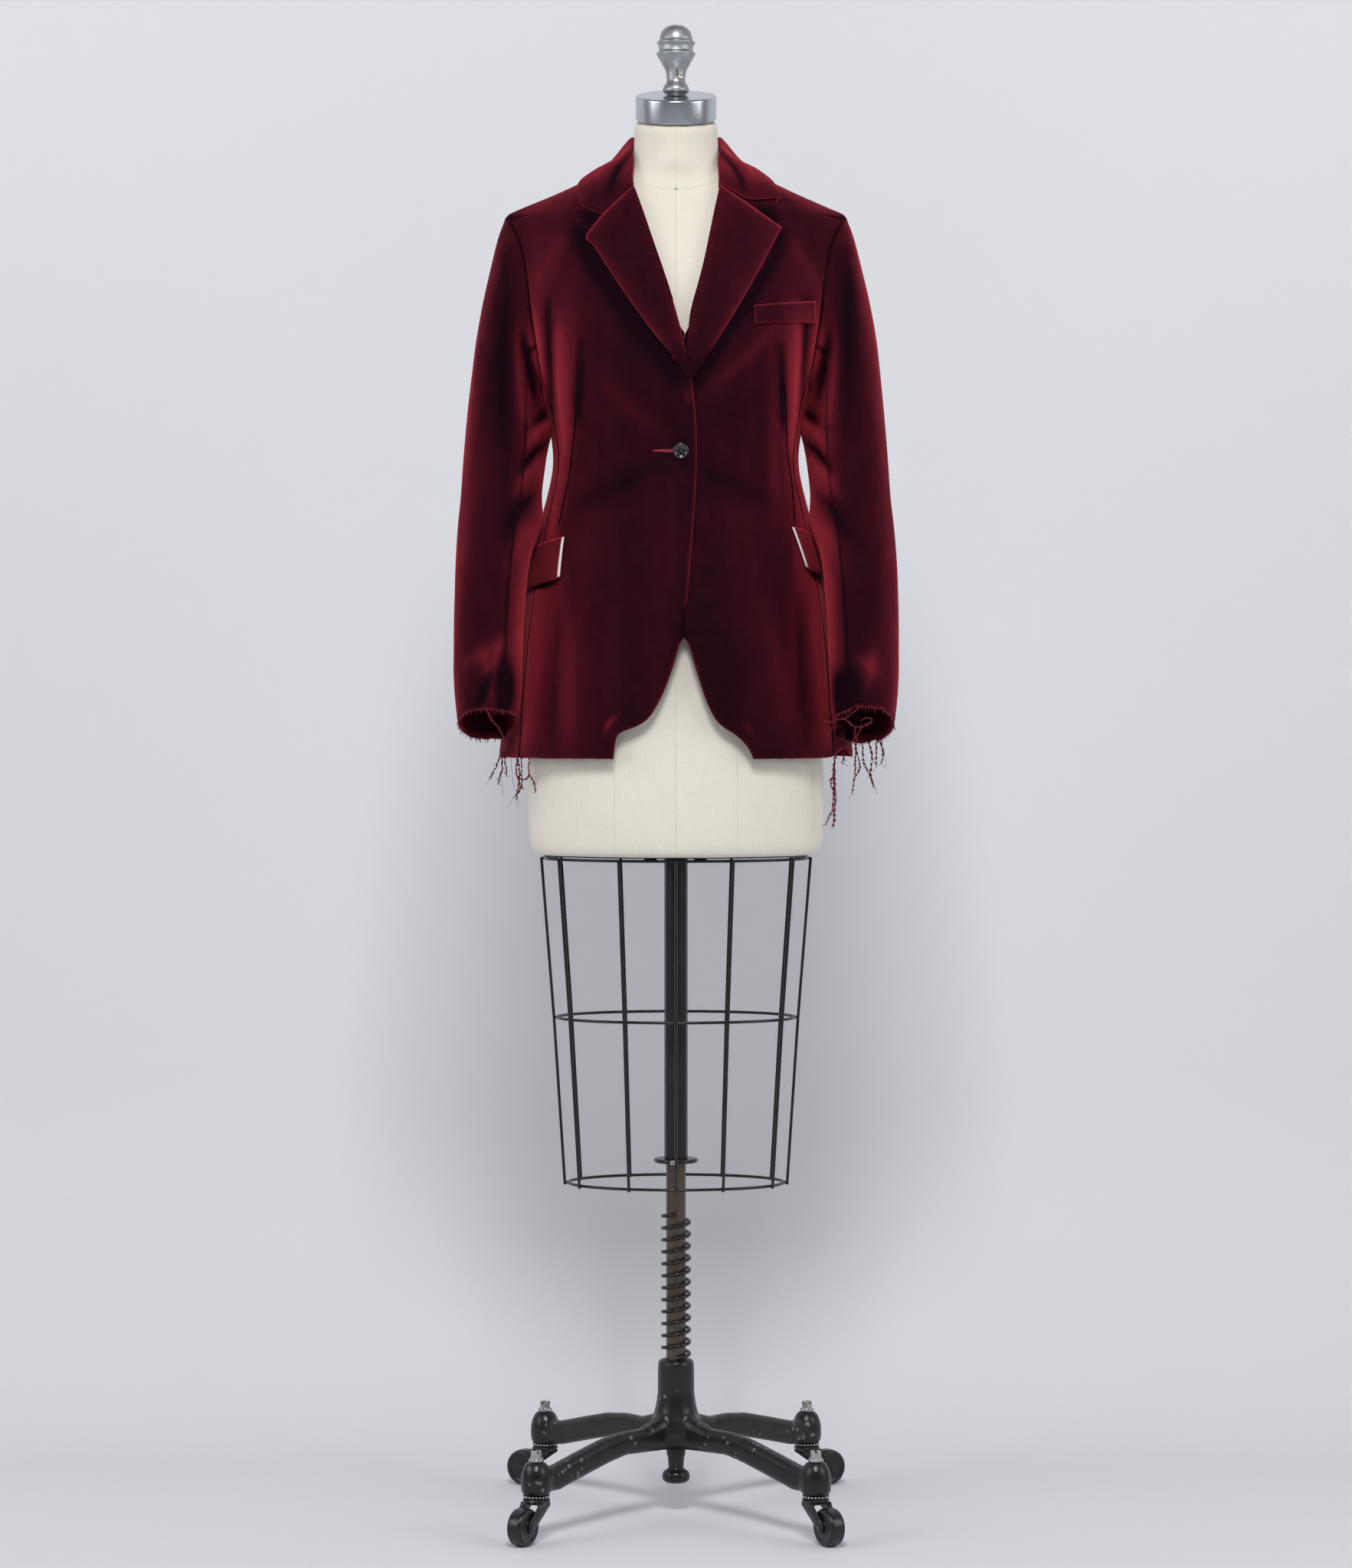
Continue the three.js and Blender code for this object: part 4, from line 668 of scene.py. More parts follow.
    @staticmethod
    def frame_of(node: str, towards: Vector) -> Matrix:
        """The frame of a flat round node: its back's middle, with Z out of its face.

        Args:
            node: the node's name.
            towards: roughly where its face looks.

        Returns:
            The frame, in metres.
        """
        bm = Bench.merged(node)
        points = np.array([v.co[:] for v in bm.verts])
        bm.free()
        middle = points.mean(axis=0)
        axis = Vector(np.linalg.svd(points - middle)[2][2])
        if axis.dot(towards) < 0:
            axis = -axis
        depths = (points - middle) @ np.array(axis)
        seat = Vector(middle) + axis * float(depths.min())
        return Matrix.Translation(seat) @ axis.to_track_quat("Z", "X").to_matrix().to_4x4()

    @staticmethod
    def seat(piece: bpy.types.Object, body: str, slot: str, *nodes: str) -> bpy.types.Object:
        """Ties a piece to its body, hides the nodes it stands for, and logs its face count."""
        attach(piece, body)
        if nodes:
            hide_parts(*nodes)
        log.info("%s: %d faces on %s", piece.name, len(piece.data.polygons), body)
        return piece


# ------------------------------------------------------------------------------ cloth
class View(Enum):
    """The side that a fold is seen from."""

    FRONT = (0, 2, 1, -1)
    BACK = (0, 2, 1, 1)
    LEFT = (1, 2, 0, 1)
    RIGHT = (1, 2, 0, -1)


@dataclass(frozen=True)
class Crease:
    """One soft fold along a line that one side shows; sizes in millimetres.

    A positive depth stands out and a negative one sinks in; the finish lightens what stands out as a painted highlight
    and darkens what sinks in as painted shade.
    """

    view: View
    start: Pair
    end: Pair
    width: float
    depth: float
    bow: float = 0.0

    def push(self, points: np.ndarray, normals: np.ndarray) -> np.ndarray:
        """How far each point moves along its normal.

        Args:
            points: places in millimetres.
            normals: unit normals.

        Returns:
            Distances in millimetres.
        """
        across, up, depth_axis, sign = self.view.value
        flat = points[:, (across, up)]
        start = np.array(self.start)
        line = np.array(self.end) - start
        length = float(np.hypot(*line))
        unit = line / length
        side = np.array((-unit[1], unit[0]))
        along = (flat - start) @ unit / length
        inside = np.clip(along, 0.0, 1.0)
        away = (flat - start) @ side - self.bow * 4 * inside * (1 - inside)
        beyond = (along - inside) * length
        reach = np.exp(-(((away**2 + beyond**2) / self.width**2) ** 0.7))
        taper = 0.2 + 0.8 * np.sin(np.pi * np.clip(inside, 0.02, 0.98)) ** 0.7
        seen = np.clip((normals[:, depth_axis] * sign + 0.05) / 0.3, 0.0, 1.0)
        return self.depth * reach * taper * seen


@dataclass(frozen=True)
class Pull:
    """A soft tug of the cloth round one place; sizes in millimetres."""

    centre: tuple[float, float, float]
    reach: float
    move: tuple[float, float, float]

    def shift(self, points: np.ndarray) -> np.ndarray:
        """How far each point moves, in millimetres."""
        away = np.linalg.norm(points - np.array(self.centre), axis=1)
        return np.exp(-((away / self.reach) ** 2))[:, None] * np.array(self.move)


@dataclass(frozen=True)
class Cut:
    """Flat size of a piece of cloth before sewing, in metres, and its area in square metres."""

    width: float
    length: float
    area: float

    def declare(self, piece: bpy.types.Object, trimmings: list[bpy.types.Object]) -> None:
        """Takes a piece cut to this size and the yarns that go with it, and does nothing with them."""


class Drape:
    """Unevenness that all the cloth shares, from a few long waves in fixed directions."""

    def __init__(self, seed: int, amount: float, longest: float, shortest: float, count: int = 9) -> None:
        """Draws the waves.

        Args:
            seed: fixes the draw.
            amount: largest movement in millimetres.
            longest: longest wave in millimetres.
            shortest: shortest wave in millimetres.
            count: number of waves.
        """
        draw = random.Random(seed)
        self.amount = amount
        self.waves = []
        for i in range(count):
            size = longest * (shortest / longest) ** (i / (count - 1))
            turn = draw.uniform(0, 2 * math.pi)
            tilt = draw.uniform(-0.45, 0.45)
            way = np.array((math.cos(turn) * math.cos(tilt), math.sin(turn) * math.cos(tilt), math.sin(tilt)))
            self.waves.append((way * 2 * math.pi / size, draw.uniform(0, 2 * math.pi), size / longest))

    def push(self, points: np.ndarray) -> np.ndarray:
        """How far each point moves along its normal, in millimetres."""
        total = sum(share * np.sin(points @ way + phase) for way, phase, share in self.waves)
        return self.amount * total / sum(share for _w, _p, share in self.waves)


@dataclass
class Panel:
    """One sewn piece of cloth, taken from its node's outer face."""

    node: str
    cut: Cut
    levels: int = 3
    thick: float = 1.9
    roll: float = 1.2
    drape: float = 1.0
    tubular: bool = False
    joins: str = ""
    raw_below: float = 0.0
    ragged: float = 1.0
    turned: str = ""
    # bloom is the strength of a wider painted highlight along the free edges, and bloom_above is the height where it
    # starts.
    bloom: float = 0.0
    bloom_above: float = 0.0
    creases: tuple[Crease, ...] = ()
    pulls: tuple[Pull, ...] = ()


@dataclass
class Sheet:
    """A panel on its way to being sewn: its piece, its points in millimetres and its open edges."""

    panel: Panel
    piece: bpy.types.Object
    points: np.ndarray
    normals: np.ndarray
    rims: list[int]
    fold: np.ndarray
    painted_shade: np.ndarray


class Tailor:
    """Makes the jacket's pieces from the frame's walls: fine, creased, sewn together and rolled at free edges."""

    SHARP = math.radians(50)
    TIP_SHARP = math.radians(72)
    TIP_FROM = 0.14
    SEAM_REACH = 9.0
    SHOULDER = 1515.0
    SHOULDER_REACH = 12.0
    EASE = 12.0
    # Reach of the painted highlight along free edges, and the fold depth that gives full painted highlight or shade, in
    # millimetres.
    GLOW = 1.6
    BLOOM_REACH = 8.0
    FOLD_GLOW = 2.6

    def __init__(self) -> None:
        """Sets up the shared unevenness."""
        self.drape = Drape(SEED, 1.4, 260.0, 40.0)
        self.ragged = Drape(SEED + 1, 3.2, 22.0, 4.0, 12)
        self.rims: dict[str, list[Vector]] = {}

    def make(self, panels: list[Panel], material: bpy.types.Material, slot: str) -> dict[str, bpy.types.Object]:
        """Cuts, creases and sews a set of panels.

        Args:
            panels: what the pieces are.
            material: their finish.
            slot: not used.

        Returns:
            The piece of each node.
        """
        sheets = [self._cut(panel, material) for panel in panels]
        samples = self._seam_samples(sheets)
        for sheet in sheets:
            self._sew(sheet, samples)
            wall = sheet.piece.modifiers.new("thickness", "SOLIDIFY")
            wall.thickness = sheet.panel.thick * MM
            wall.offset = -1.0
            Bench.seat(sheet.piece, "form", slot, sheet.panel.node)
        return {sheet.panel.node: sheet.piece for sheet in sheets}

    def _cut(self, panel: Panel, material: bpy.types.Material) -> Sheet:
        """The panel's outer face, made fine and creased."""
        bm = self._outer_sheet(panel)
        if panel.turned:
            self._turn_edge(bm, panel)
        piece = Bench.from_bmesh(f"cloth_{panel.node}", bm, material)
        Bench.subdivide(piece, panel.levels)
        piece.modifiers["fine"].boundary_smooth = "PRESERVE_CORNERS"
        Bench.applied(piece)
        mesh = piece.data
        count = len(mesh.vertices)
        points = np.empty(count * 3)
        mesh.vertices.foreach_get("co", points)
        points = points.reshape(-1, 3) / MM
        normals = np.array([v.normal[:] for v in mesh.vertices])
        steps = [crease.push(points, normals) for crease in panel.creases]
        lift = sum(steps) if steps else np.zeros(count)
        # Raised folds are kept as a painted highlight and hollow ones as painted shade.
        fold = np.clip(sum(np.maximum(s, 0) for s in steps) / self.FOLD_GLOW, 0, 1) if steps else np.zeros(count)
        painted_shade = np.clip(sum(np.maximum(-s, 0) for s in steps) / self.FOLD_GLOW, 0, 1) if steps else np.zeros(count)
        moved = points + normals * (lift + self.drape.push(points) * panel.drape)[:, None]
        for pull in panel.pulls:
            moved += pull.shift(points)
        return Sheet(panel, piece, moved, normals, self._rim_points(mesh), fold, painted_shade)

    def _outer_sheet(self, panel: Panel) -> bmesh.types.BMesh:
        """The outer face of a wall as a sheet of quads."""
        bm = Bench.merged(panel.node)
        groups = self._smooth_groups(bm, not panel.tubular)
        best = max(groups, key=lambda faces: self._outwardness(faces, panel))
        keep = set(best)
        bmesh.ops.delete(bm, geom=[f for f in bm.faces if f not in keep], context="FACES")
        bmesh.ops.join_triangles(bm, faces=bm.faces, angle_face_threshold=math.radians(60),
                                 angle_shape_threshold=math.radians(180))
        return bm

    def _smooth_groups(self, bm: bmesh.types.BMesh, body: bool) -> list[list[bmesh.types.BMFace]]:
        """Groups of faces with no sharp edge between them; a body panel may bend more at the shoulder's tip.

        Args:
            bm: the wall.
            body: True for a panel of the body.

        Returns:
            The groups.
        """
        left = set(bm.faces)
        groups = []
        while left:
            seed = left.pop()
            group = [seed]
            stack = [seed]
            while stack:
                face = stack.pop()
                for edge in face.edges:
                    tip = body and abs(edge.verts[0].co.x + edge.verts[1].co.x) > 2 * self.TIP_FROM
                    sharp = self.TIP_SHARP if tip else self.SHARP
                    if len(edge.link_faces) != 2 or edge.calc_face_angle(0.0) > sharp:
                        continue
                    for other in edge.link_faces:
                        if other in left:
                            left.remove(other)
                            group.append(other)
                            stack.append(other)
            groups.append(group)
        return groups

    @staticmethod
    def _outwardness(faces: list[bmesh.types.BMFace], panel: Panel) -> float:
        """Area that looks away from the middle of the body, or of the arm."""
        if panel.tubular:
            return sum(face.calc_area() for face in faces)
        total = 0.0
        for face in faces:
            centre = face.calc_center_median()
            away = Vector((centre.x, centre.y - 0.01, 0)).normalized()
            total += face.calc_area() * face.normal.dot(away)
        return total

    @staticmethod
    def _turn_edge(bm: bmesh.types.BMesh, panel: Panel) -> None:
        """Turns the edge that faces the neck over into the cloth, as at a fold."""
        rim = []
        for edge in bm.edges:
            if len(edge.link_faces) != 1:
                continue
            middle = (edge.verts[0].co + edge.verts[1].co) / 2
            face = edge.link_faces[0].calc_center_median()
            round_neck = Vector((middle.x, middle.y, 0)).normalized()
            way = round_neck if panel.turned == "neck" else Vector((math.copysign(1.0, middle.x), 0, 0))
            gain = (face - middle).dot(way)
            run = (edge.verts[0].co - edge.verts[1].co).normalized()
            if gain > 0.0004 and abs(run.dot(way)) < 0.75:
                rim.append(edge)
        steps = ((0.0016, 0.0012), (0.0006, 0.0030)) if panel.turned == "neck" else ((0.0012, 0.0016), (0.0, 0.0030))
        for inward, sink in steps:
            grown = bmesh.ops.extrude_edge_only(bm, edges=rim)["geom"]
            verts = [v for v in grown if isinstance(v, bmesh.types.BMVert)]
            rim = [e for e in grown if isinstance(e, bmesh.types.BMEdge)]
            for vert in verts:
                if panel.turned == "neck":
                    way = Vector((vert.co.x, vert.co.y, 0)).normalized()
                    vert.co += way * -inward + Vector((0, 0, -sink))
                else:
                    vert.co += Vector((-math.copysign(inward, vert.co.x), sink, 0))

    @staticmethod
    def _seam_samples(sheets: list[Sheet]) -> dict[str, kdtree.KDTree]:
        """For each panel, places along the open edges of the panels that it is sewn to."""
        edges = {}
        for sheet in sheets:
            rim = set(sheet.rims)
            lines = []
            for edge in sheet.piece.data.edges:
                a, b = edge.vertices
                if a in rim and b in rim:
                    lines += [sheet.points[a] * (1 - t) + sheet.points[b] * t for t in (0.0, 0.25, 0.5, 0.75)]
            edges[sheet.panel.node] = lines
        trees = {}
        for sheet in sheets:
            near = [line for other in sheets for line in edges[other.panel.node]
                    if other is not sheet and sheet.panel.joins and other.panel.joins == sheet.panel.joins]
            tree = kdtree.KDTree(len(near))
            for i, spot in enumerate(near):
                tree.insert(Vector(spot), i)
            tree.balance()
            trees[sheet.panel.node] = tree
        return trees

    def _sew(self, sheet: Sheet, samples: dict[str, kdtree.KDTree]) -> None:
        """Closes the seams, rolls the free edges, frays the raw ones, and stores the painted highlights and shade for
        the finish.
        """
        panel, points, mesh = sheet.panel, sheet.points, sheet.piece.data
        seams, frees, shifts = [], [], []
        others = samples[panel.node]
        for i in sheet.rims:
            spot, _index, far = others.find(Vector(points[i])) if panel.joins else (None, 0, 99.0)
            reach = self.SHOULDER_REACH if points[i][2] > self.SHOULDER else self.SEAM_REACH
            if spot is not None and far < reach:
                seams.append(i)
                shifts.append((np.array(spot) - points[i]) / 2)
            else:
                frees.append(i)
        to_seam, seam_of = self._distances(points, seams)
        to_free, _ = self._distances(points, frees)
        ease = np.clip(1 - to_seam / self.EASE, 0, 1) ** 2
        moved = points.copy()
        if seams:
            moved += ease[:, None] * np.array(shifts)[seam_of]
        roll = 0.7 * np.clip(1 - to_seam / 3.5, 0, 1) ** 2 + panel.roll * np.clip(1 - to_free / 3.5, 0, 1) ** 2
        moved -= sheet.normals * roll[:, None]
        if panel.raw_below:
            raw = np.clip(1 - to_free / 7.0, 0.0, 1.0) * (points[:, 2] < panel.raw_below)
            moved[:, 2] += raw * self.ragged.push(points) * panel.ragged
            self.rims[panel.node] = self._raw_rim(mesh, moved, sheet.rims, panel.raw_below)
        mesh.vertices.foreach_set("co", (moved * MM).ravel())
        # Painted highlight along the free edges: a thin line, and a wider one where the panel has bloom, shown from a
        # height up and, on sewn panels, only below the shoulder.
        painted_edge_line = np.exp(-((to_free / self.GLOW) ** 2)) * (panel.roll > 0)
        bloom = panel.bloom * np.exp(-to_free / self.BLOOM_REACH)
        shown = np.clip((points[:, 2] - panel.bloom_above) / 22.0, 0, 1)
        if panel.joins:
            shown = shown * (points[:, 2] < self.SHOULDER)
        self._store(mesh, "edge", (painted_edge_line + bloom) * shown)
        self._store(mesh, "fold", sheet.fold)
        # Painted shade in the hollow folds, with a dark line along the seams.
        self._store(mesh, "painted_shade", np.clip(sheet.painted_shade + 0.5 * np.exp(-((to_seam / 1.5) ** 2)), 0, 1))
        mesh.update()

    @staticmethod
    def _distances(points: np.ndarray, marks: list[int]) -> tuple[np.ndarray, np.ndarray]:
        """How far each point is from the nearest of some marked points, and which one that is."""
        if not marks:
            return np.full(len(points), 1e3), np.zeros(len(points), int)
        tree = kdtree.KDTree(len(marks))
        for i, mark in enumerate(marks):
            tree.insert(Vector(points[mark]), i)
        tree.balance()
        found = [tree.find(Vector(p)) for p in points]
        return np.array([f[2] for f in found]), np.array([f[1] for f in found])

    @staticmethod
    def _raw_rim(mesh: bpy.types.Mesh, points: np.ndarray, rims: list[int], below: float) -> list[Vector]:
        """Places along the raw bottom edge, in metres."""
        open_points = set(rims)
        kept = set()
        for edge in mesh.edges:
            a, b = edge.vertices
            if a in open_points and b in open_points and max(points[a][2], points[b][2]) < below:
                run = points[b] - points[a]
                if abs(run[2]) < 0.75 * float(np.linalg.norm(run)):
                    kept |= {a, b}
        return [Vector(points[i]) * MM for i in sorted(kept)]

    @staticmethod
    def _rim_points(mesh: bpy.types.Mesh) -> list[int]:
        """Points on the open edges."""
        uses = np.zeros(len(mesh.edges), int)
        loops = np.empty(len(mesh.loops), int)
        mesh.loops.foreach_get("edge_index", loops)
        np.add.at(uses, loops, 1)
        return sorted({v for e in mesh.edges if uses[e.index] == 1 for v in e.vertices})

    @staticmethod
    def _store(mesh: bpy.types.Mesh, name: str, values: np.ndarray) -> None:
        """Stores a number on each point."""
        layer = mesh.attributes.new(name, "FLOAT", "POINT")
        layer.data.foreach_set("value", values.astype(np.float32))


class Jacket:
    """The velvet jacket's pieces, folds and trimmings."""

    def __init__(self, finishes: Finishes) -> None:
        """Keeps what the pieces need."""
        self.finishes = finishes
        self.tailor = Tailor()

    def build(self) -> None:
        """Makes every piece of the jacket and its trimmings."""
        velvet, linings = self._panels(), self._linings()
        made = self.tailor.make(velvet, self.finishes.velvet, "velvet")
        made |= self.tailor.make(linings, self.finishes.lining, "white_lining")
        stitches = Button().build(self.finishes, Face(made["front_right"]))
        trimmings = {"front_right": [stitches]} | Frays().build(self.finishes, self.tailor.rims)
        for panel in velvet + linings:
            panel.cut.declare(made[panel.node], trimmings.get(panel.node, []))

    @staticmethod
    def _linings() -> list[Panel]:
        """The lining of each flap, which shows as a strip at its front edge."""
        cuts = {"left": Cut(0.11, 0.048, 0.0046), "right": Cut(0.13, 0.05, 0.0057)}
        return [Panel(f"flap_lining_{side}", cut, levels=2, thick=0.7, roll=0.0, drape=0.0)
                for side, cut in cuts.items()]

    def _panels(self) -> list[Panel]:
        """Every velvet piece with its folds."""
        body = self._body_folds()
        arms = self._sleeve_folds()
        fronts = {"left": Cut(0.23, 0.72, 0.125), "right": Cut(0.25, 0.72, 0.135)}
        lapels = {"left": Cut(0.10, 0.25, 0.0135), "right": Cut(0.09, 0.25, 0.0117)}
        flaps = {"left": Cut(0.12, 0.05, 0.005), "right": Cut(0.135, 0.052, 0.0061)}
        corners = {"left": (), "right": (Pull((-103, -80, 1520), 9, (-6, 0, -2)),)}
        rolls = {"left": (Pull((6, -118, 1402), 16, (3.2, 0, -3)),), "right": (Pull((5, -124, 1345), 55, (3.2, 0, 0)),)}
        hem = {"left": (Pull((205, -30, 912), 25, (0, 0, 11)),), "right": ()}
        panels = []
        for side, sign in (("left", 1), ("right", -1)):
            hug = (Pull((sign * 160, -10, 1350), 42, (-sign * 8, 0, 0)),
                   Pull((sign * 158, -12, 1305), 32, (-sign * 14, 0, 0)),
                   Pull((sign * 172, -38, 1182), 30, (-sign * 9, 0, 0)))
            cuff = (Pull((sign * 184, -84, 950), 24, (0, 0, 9 if side == "right" else 4)),)
            panels += [
                Panel(f"front_{side}", fronts[side], joins="body", raw_below=912.0, ragged=0.15, creases=body,
                      pulls=rolls[side] + hem[side]),
                Panel(f"back_{side}", Cut(0.22, 0.71, 0.13), joins="body", raw_below=912.0, ragged=0.15, creases=body),
                Panel(f"side_{side}", Cut(0.16, 0.48, 0.053), joins="body", raw_below=912.0, ragged=0.15,
                      creases=body, pulls=hem[side]),
                Panel(f"sleeve_top_{side}", Cut(0.24, 0.64, 0.115), tubular=True, joins="body", raw_below=1000.0,
                      creases=arms, pulls=hug + cuff),
                Panel(f"sleeve_under_{side}", Cut(0.12, 0.48, 0.044), tubular=True, joins="body", raw_below=1000.0,
                      creases=arms, pulls=hug + cuff),
                Panel(f"lapel_{side}", lapels[side], roll=0.8, drape=0.3, turned="roll", bloom=0.75,
                      bloom_above=1374.0, pulls=rolls[side] + corners[side]),
                Panel(f"flap_{side}", flaps[side], thick=1.5, roll=0.6, drape=0.2),
            ]
        panels += [
            Panel("collar", Cut(0.46, 0.09, 0.028), roll=0.8, drape=0.3, turned="neck", bloom=0.3, creases=(
                Crease(View.FRONT, (-58, 1632), (-96, 1586), 5, 1.5, -4),
                Crease(View.FRONT, (-48, 1630), (-78, 1576), 5, -1.6, -4),
                Crease(View.FRONT, (59, 1630), (94, 1588), 5, 1.3, 4),
                Crease(View.FRONT, (48, 1628), (80, 1578), 5, -1.6, 4),
            ), pulls=(Pull((-73, 0, 1625), 20, (0, 0, -10)), Pull((73, 0, 1625), 20, (0, 0, -10)))),
            Panel("collar_stand", Cut(0.30, 0.035, 0.0083), levels=2, roll=0.0, drape=0.0),
            Panel("breast_welt", Cut(0.078, 0.028, 0.0021), thick=1.6, roll=0.7, drape=0.1),
        ]
        return panels

    @staticmethod
    def _body_folds() -> tuple[Crease, ...]:
        """Soft folds of the fronts, sides and back, and hollow lines that paint shadows under the lapels, the collar's
        notches and the pocket flaps.
        """
        front = View.FRONT
        back = View.BACK
        return (
            Crease(front, (-136, 1425), (-130, 1270), 8, 2.6),
            Crease(front, (-150, 1440), (-146, 1290), 6, -2.0),
            Crease(front, (-166, 1436), (-155, 1330), 5, 2.2, 3),
            Crease(front, (-112, 1395), (-116, 1300), 4.5, -1.3),
            Crease(front, (-126, 1290), (-150, 1120), 8, 1.8, -4),
            Crease(front, (142, 1430), (133, 1272), 8, 2.6),
            Crease(front, (154, 1445), (148, 1300), 6, -2.0),
            Crease(front, (169, 1440), (158, 1335), 5, 2.2, -3),
            Crease(front, (123, 1388), (126, 1290), 4, -1.4),
            Crease(front, (111, 1388), (116, 1180), 6, 0.9),
            Crease(front, (11, 1338), (13, 1318), 3, 1.8),
            Crease(front, (134, 1285), (156, 1120), 8, 1.8, 4),
            # Painted shadows, pressed in a little: under the lapels' outer edges, their points and the collar's
            # notches.
            Crease(front, (-111, 1508), (-2, 1350), 7, -3.6),
            Crease(front, (-120, 1528), (-96, 1512), 7, -2.0),
            Crease(front, (128, 1524), (104, 1508), 7, -1.6),
            Crease(front, (-108, 1546), (-84, 1537), 5, -2.6),
            Crease(front, (98, 1552), (120, 1541), 5, -2.2),
            Crease(front, (124, 1506), (24, 1346), 5, -2.4),
            Crease(front, (-160, 1150), (-176, 925), 9, 2.2, 4),
            Crease(front, (-138, 1100), (-146, 925), 10, -0.6),
            Crease(front, (-118, 1080), (-122, 925), 12, 1.0),
            Crease(front, (162, 1150), (180, 925), 9, 2.2, -4),
            Crease(front, (141, 1100), (152, 925), 10, -0.8),
            Crease(front, (116, 1080), (122, 925), 12, 1.0),
            Crease(front, (-14, 1285), (-90, 1352), 9, 0.8, 4),
            Crease(front, (30, 1330), (132, 1432), 9, 1.1, -5),
            Crease(front, (-20, 1248), (-110, 1205), 10, -0.7),
            Crease(front, (24, 1248), (108, 1208), 10, -0.7),
            Crease(front, (-82, 937), (-68, 956), 3, 2.6, 3),
            # Painted shadows under the pocket flaps.
            Crease(front, (-143, 1118), (-172, 1106), 4.5, -2.6),
            Crease(front, (159, 1128), (172, 1112), 4.5, -2.6),
            Crease(front, (88, 936), (80, 950), 3, 1.2),
            Crease(front, (-120, 1540), (-178, 1440), 12, 0.9),
            Crease(front, (120, 1540), (178, 1440), 12, 0.9),
            Crease(front, (-190, 1525), (-176, 1430), 7, -1.0),
            Crease(front, (190, 1525), (176, 1430), 7, -1.0),
            Crease(back, (-62, 1340), (-42, 1195), 15, -2.2),
            Crease(back, (65, 1345), (44, 1200), 15, -2.0),
            Crease(back, (-128, 1430), (-134, 1240), 9, 2.4),
            Crease(back, (130, 1428), (134, 1235), 9, 2.4),
            Crease(back, (-150, 1420), (-146, 1290), 7, -1.8),
            Crease(back, (152, 1418), (146, 1290), 7, -1.8),
            Crease(back, (-92, 1130), (-118, 920), 12, 2.0),
            Crease(back, (88, 1120), (110, 920), 12, 2.2),
            Crease(back, (-40, 1060), (-52, 915), 12, -1.4),
            Crease(back, (44, 1050), (50, 915), 12, -1.2),
            Crease(back, (-80, 1528), (80, 1524), 10, 1.0, -8),
            Crease(back, (-100, 1264), (100, 1258), 7, -1.1, 4),
            Crease(back, (-96, 1286), (92, 1290), 8, 0.9, -3),
            Crease(View.LEFT, (-40, 1130), (-70, 925), 10, 1.8),
            Crease(View.LEFT, (60, 1120), (82, 925), 10, 2.0),
            Crease(View.RIGHT, (-45, 1130), (-66, 925), 10, 1.8),
            Crease(View.RIGHT, (55, 1120), (80, 925), 10, 2.0),
        )

    @staticmethod
    def _sleeve_folds() -> tuple[Crease, ...]:
        """Elbow, underarm and cuff folds of both sleeves."""
        front = View.FRONT
        back = View.BACK
        folds = [
            Crease(front, (-226, 1035), (-213, 968), 7, 2.4, 2),
            Crease(front, (-204, 1050), (-224, 964), 4, 2.2),
            Crease(front, (-196, 1010), (-204, 966), 8, -3.0),
            Crease(front, (204, 998), (214, 958), 3.2, 2.6),
            Crease(front, (190, 1004), (196, 956), 9, -3.6),
            Crease(front, (232, 1040), (222, 985), 8, 1.6),
            Crease(front, (-195, 1004), (-211, 970), 4, 2.2),
            Crease(front, (-214, 1011), (-229, 969), 5, -2.2),
            Crease(front, (-194, 1047), (-250, 1015), 8, 1.6),
            Crease(front, (204, 1006), (211, 972), 4, -2.0),
            Crease(front, (211, 1025), (236, 1008), 7, 1.8),
        ]
        for sign, view in ((-1, View.RIGHT), (1, View.LEFT)):
            folds += [
                Crease(front, (sign * 172, 1410), (sign * 166, 1345), 4.5, 2.6),
                Crease(front, (sign * 180, 1405), (sign * 173, 1325), 4, -2.2),
                Crease(front, (sign * 188, 1420), (sign * 180, 1290), 6, 1.8, sign * 3),
                Crease(front, (sign * 160, 1336), (sign * 172, 1300), 4, -2.4),
                Crease(front, (sign * 158, 1318), (sign * 178, 1272), 4.5, 2.4),
                Crease(front, (sign * 156, 1286), (sign * 182, 1246), 4.5, -2.0),
                Crease(front, (sign * 157, 1262), (sign * 190, 1216), 6, 1.6, sign * 4),
                Crease(front, (sign * 160, 1226), (sign * 200, 1170), 7, -1.2, sign * 4),
                Crease(front, (sign * 166, 1190), (sign * 196, 1120), 8, 1.2, sign * 5),
                Crease(front, (sign * 200, 1500), (sign * 206, 1290), 10, -1.0),
                Crease(front, (sign * 236, 1400), (sign * 248, 1130), 8, 1.2),
                Crease(front, (sign * 186, 1120), (sign * 190, 990), 7, 1.4),
                Crease(back, (sign * 170, 1290), (sign * 215, 1262), 7, 2.2, sign * 4),
                Crease(back, (sign * 168, 1262), (sign * 224, 1226), 7, -2.2, sign * 4),
                Crease(back, (sign * 170, 1232), (sign * 232, 1192), 8, 2.2, sign * 4),
                Crease(back, (sign * 172, 1200), (sign * 230, 1156), 8, -1.6, sign * 4),
                Crease(back, (sign * 186, 1450), (sign * 200, 1330), 9, 1.8),
                Crease(back, (sign * 236, 1130), (sign * 222, 990), 9, 1.6),
                Crease(view, (-20, 1500), (-8, 1380), 10, 1.0),
                Crease(view, (-58, 1190), (-86, 1090), 9, 1.6),
                Crease(view, (-30, 1180), (-60, 1070), 9, -1.4),
                Crease(view, (-92, 1050), (-80, 960), 8, 1.4),
            ]
        return tuple(folds)


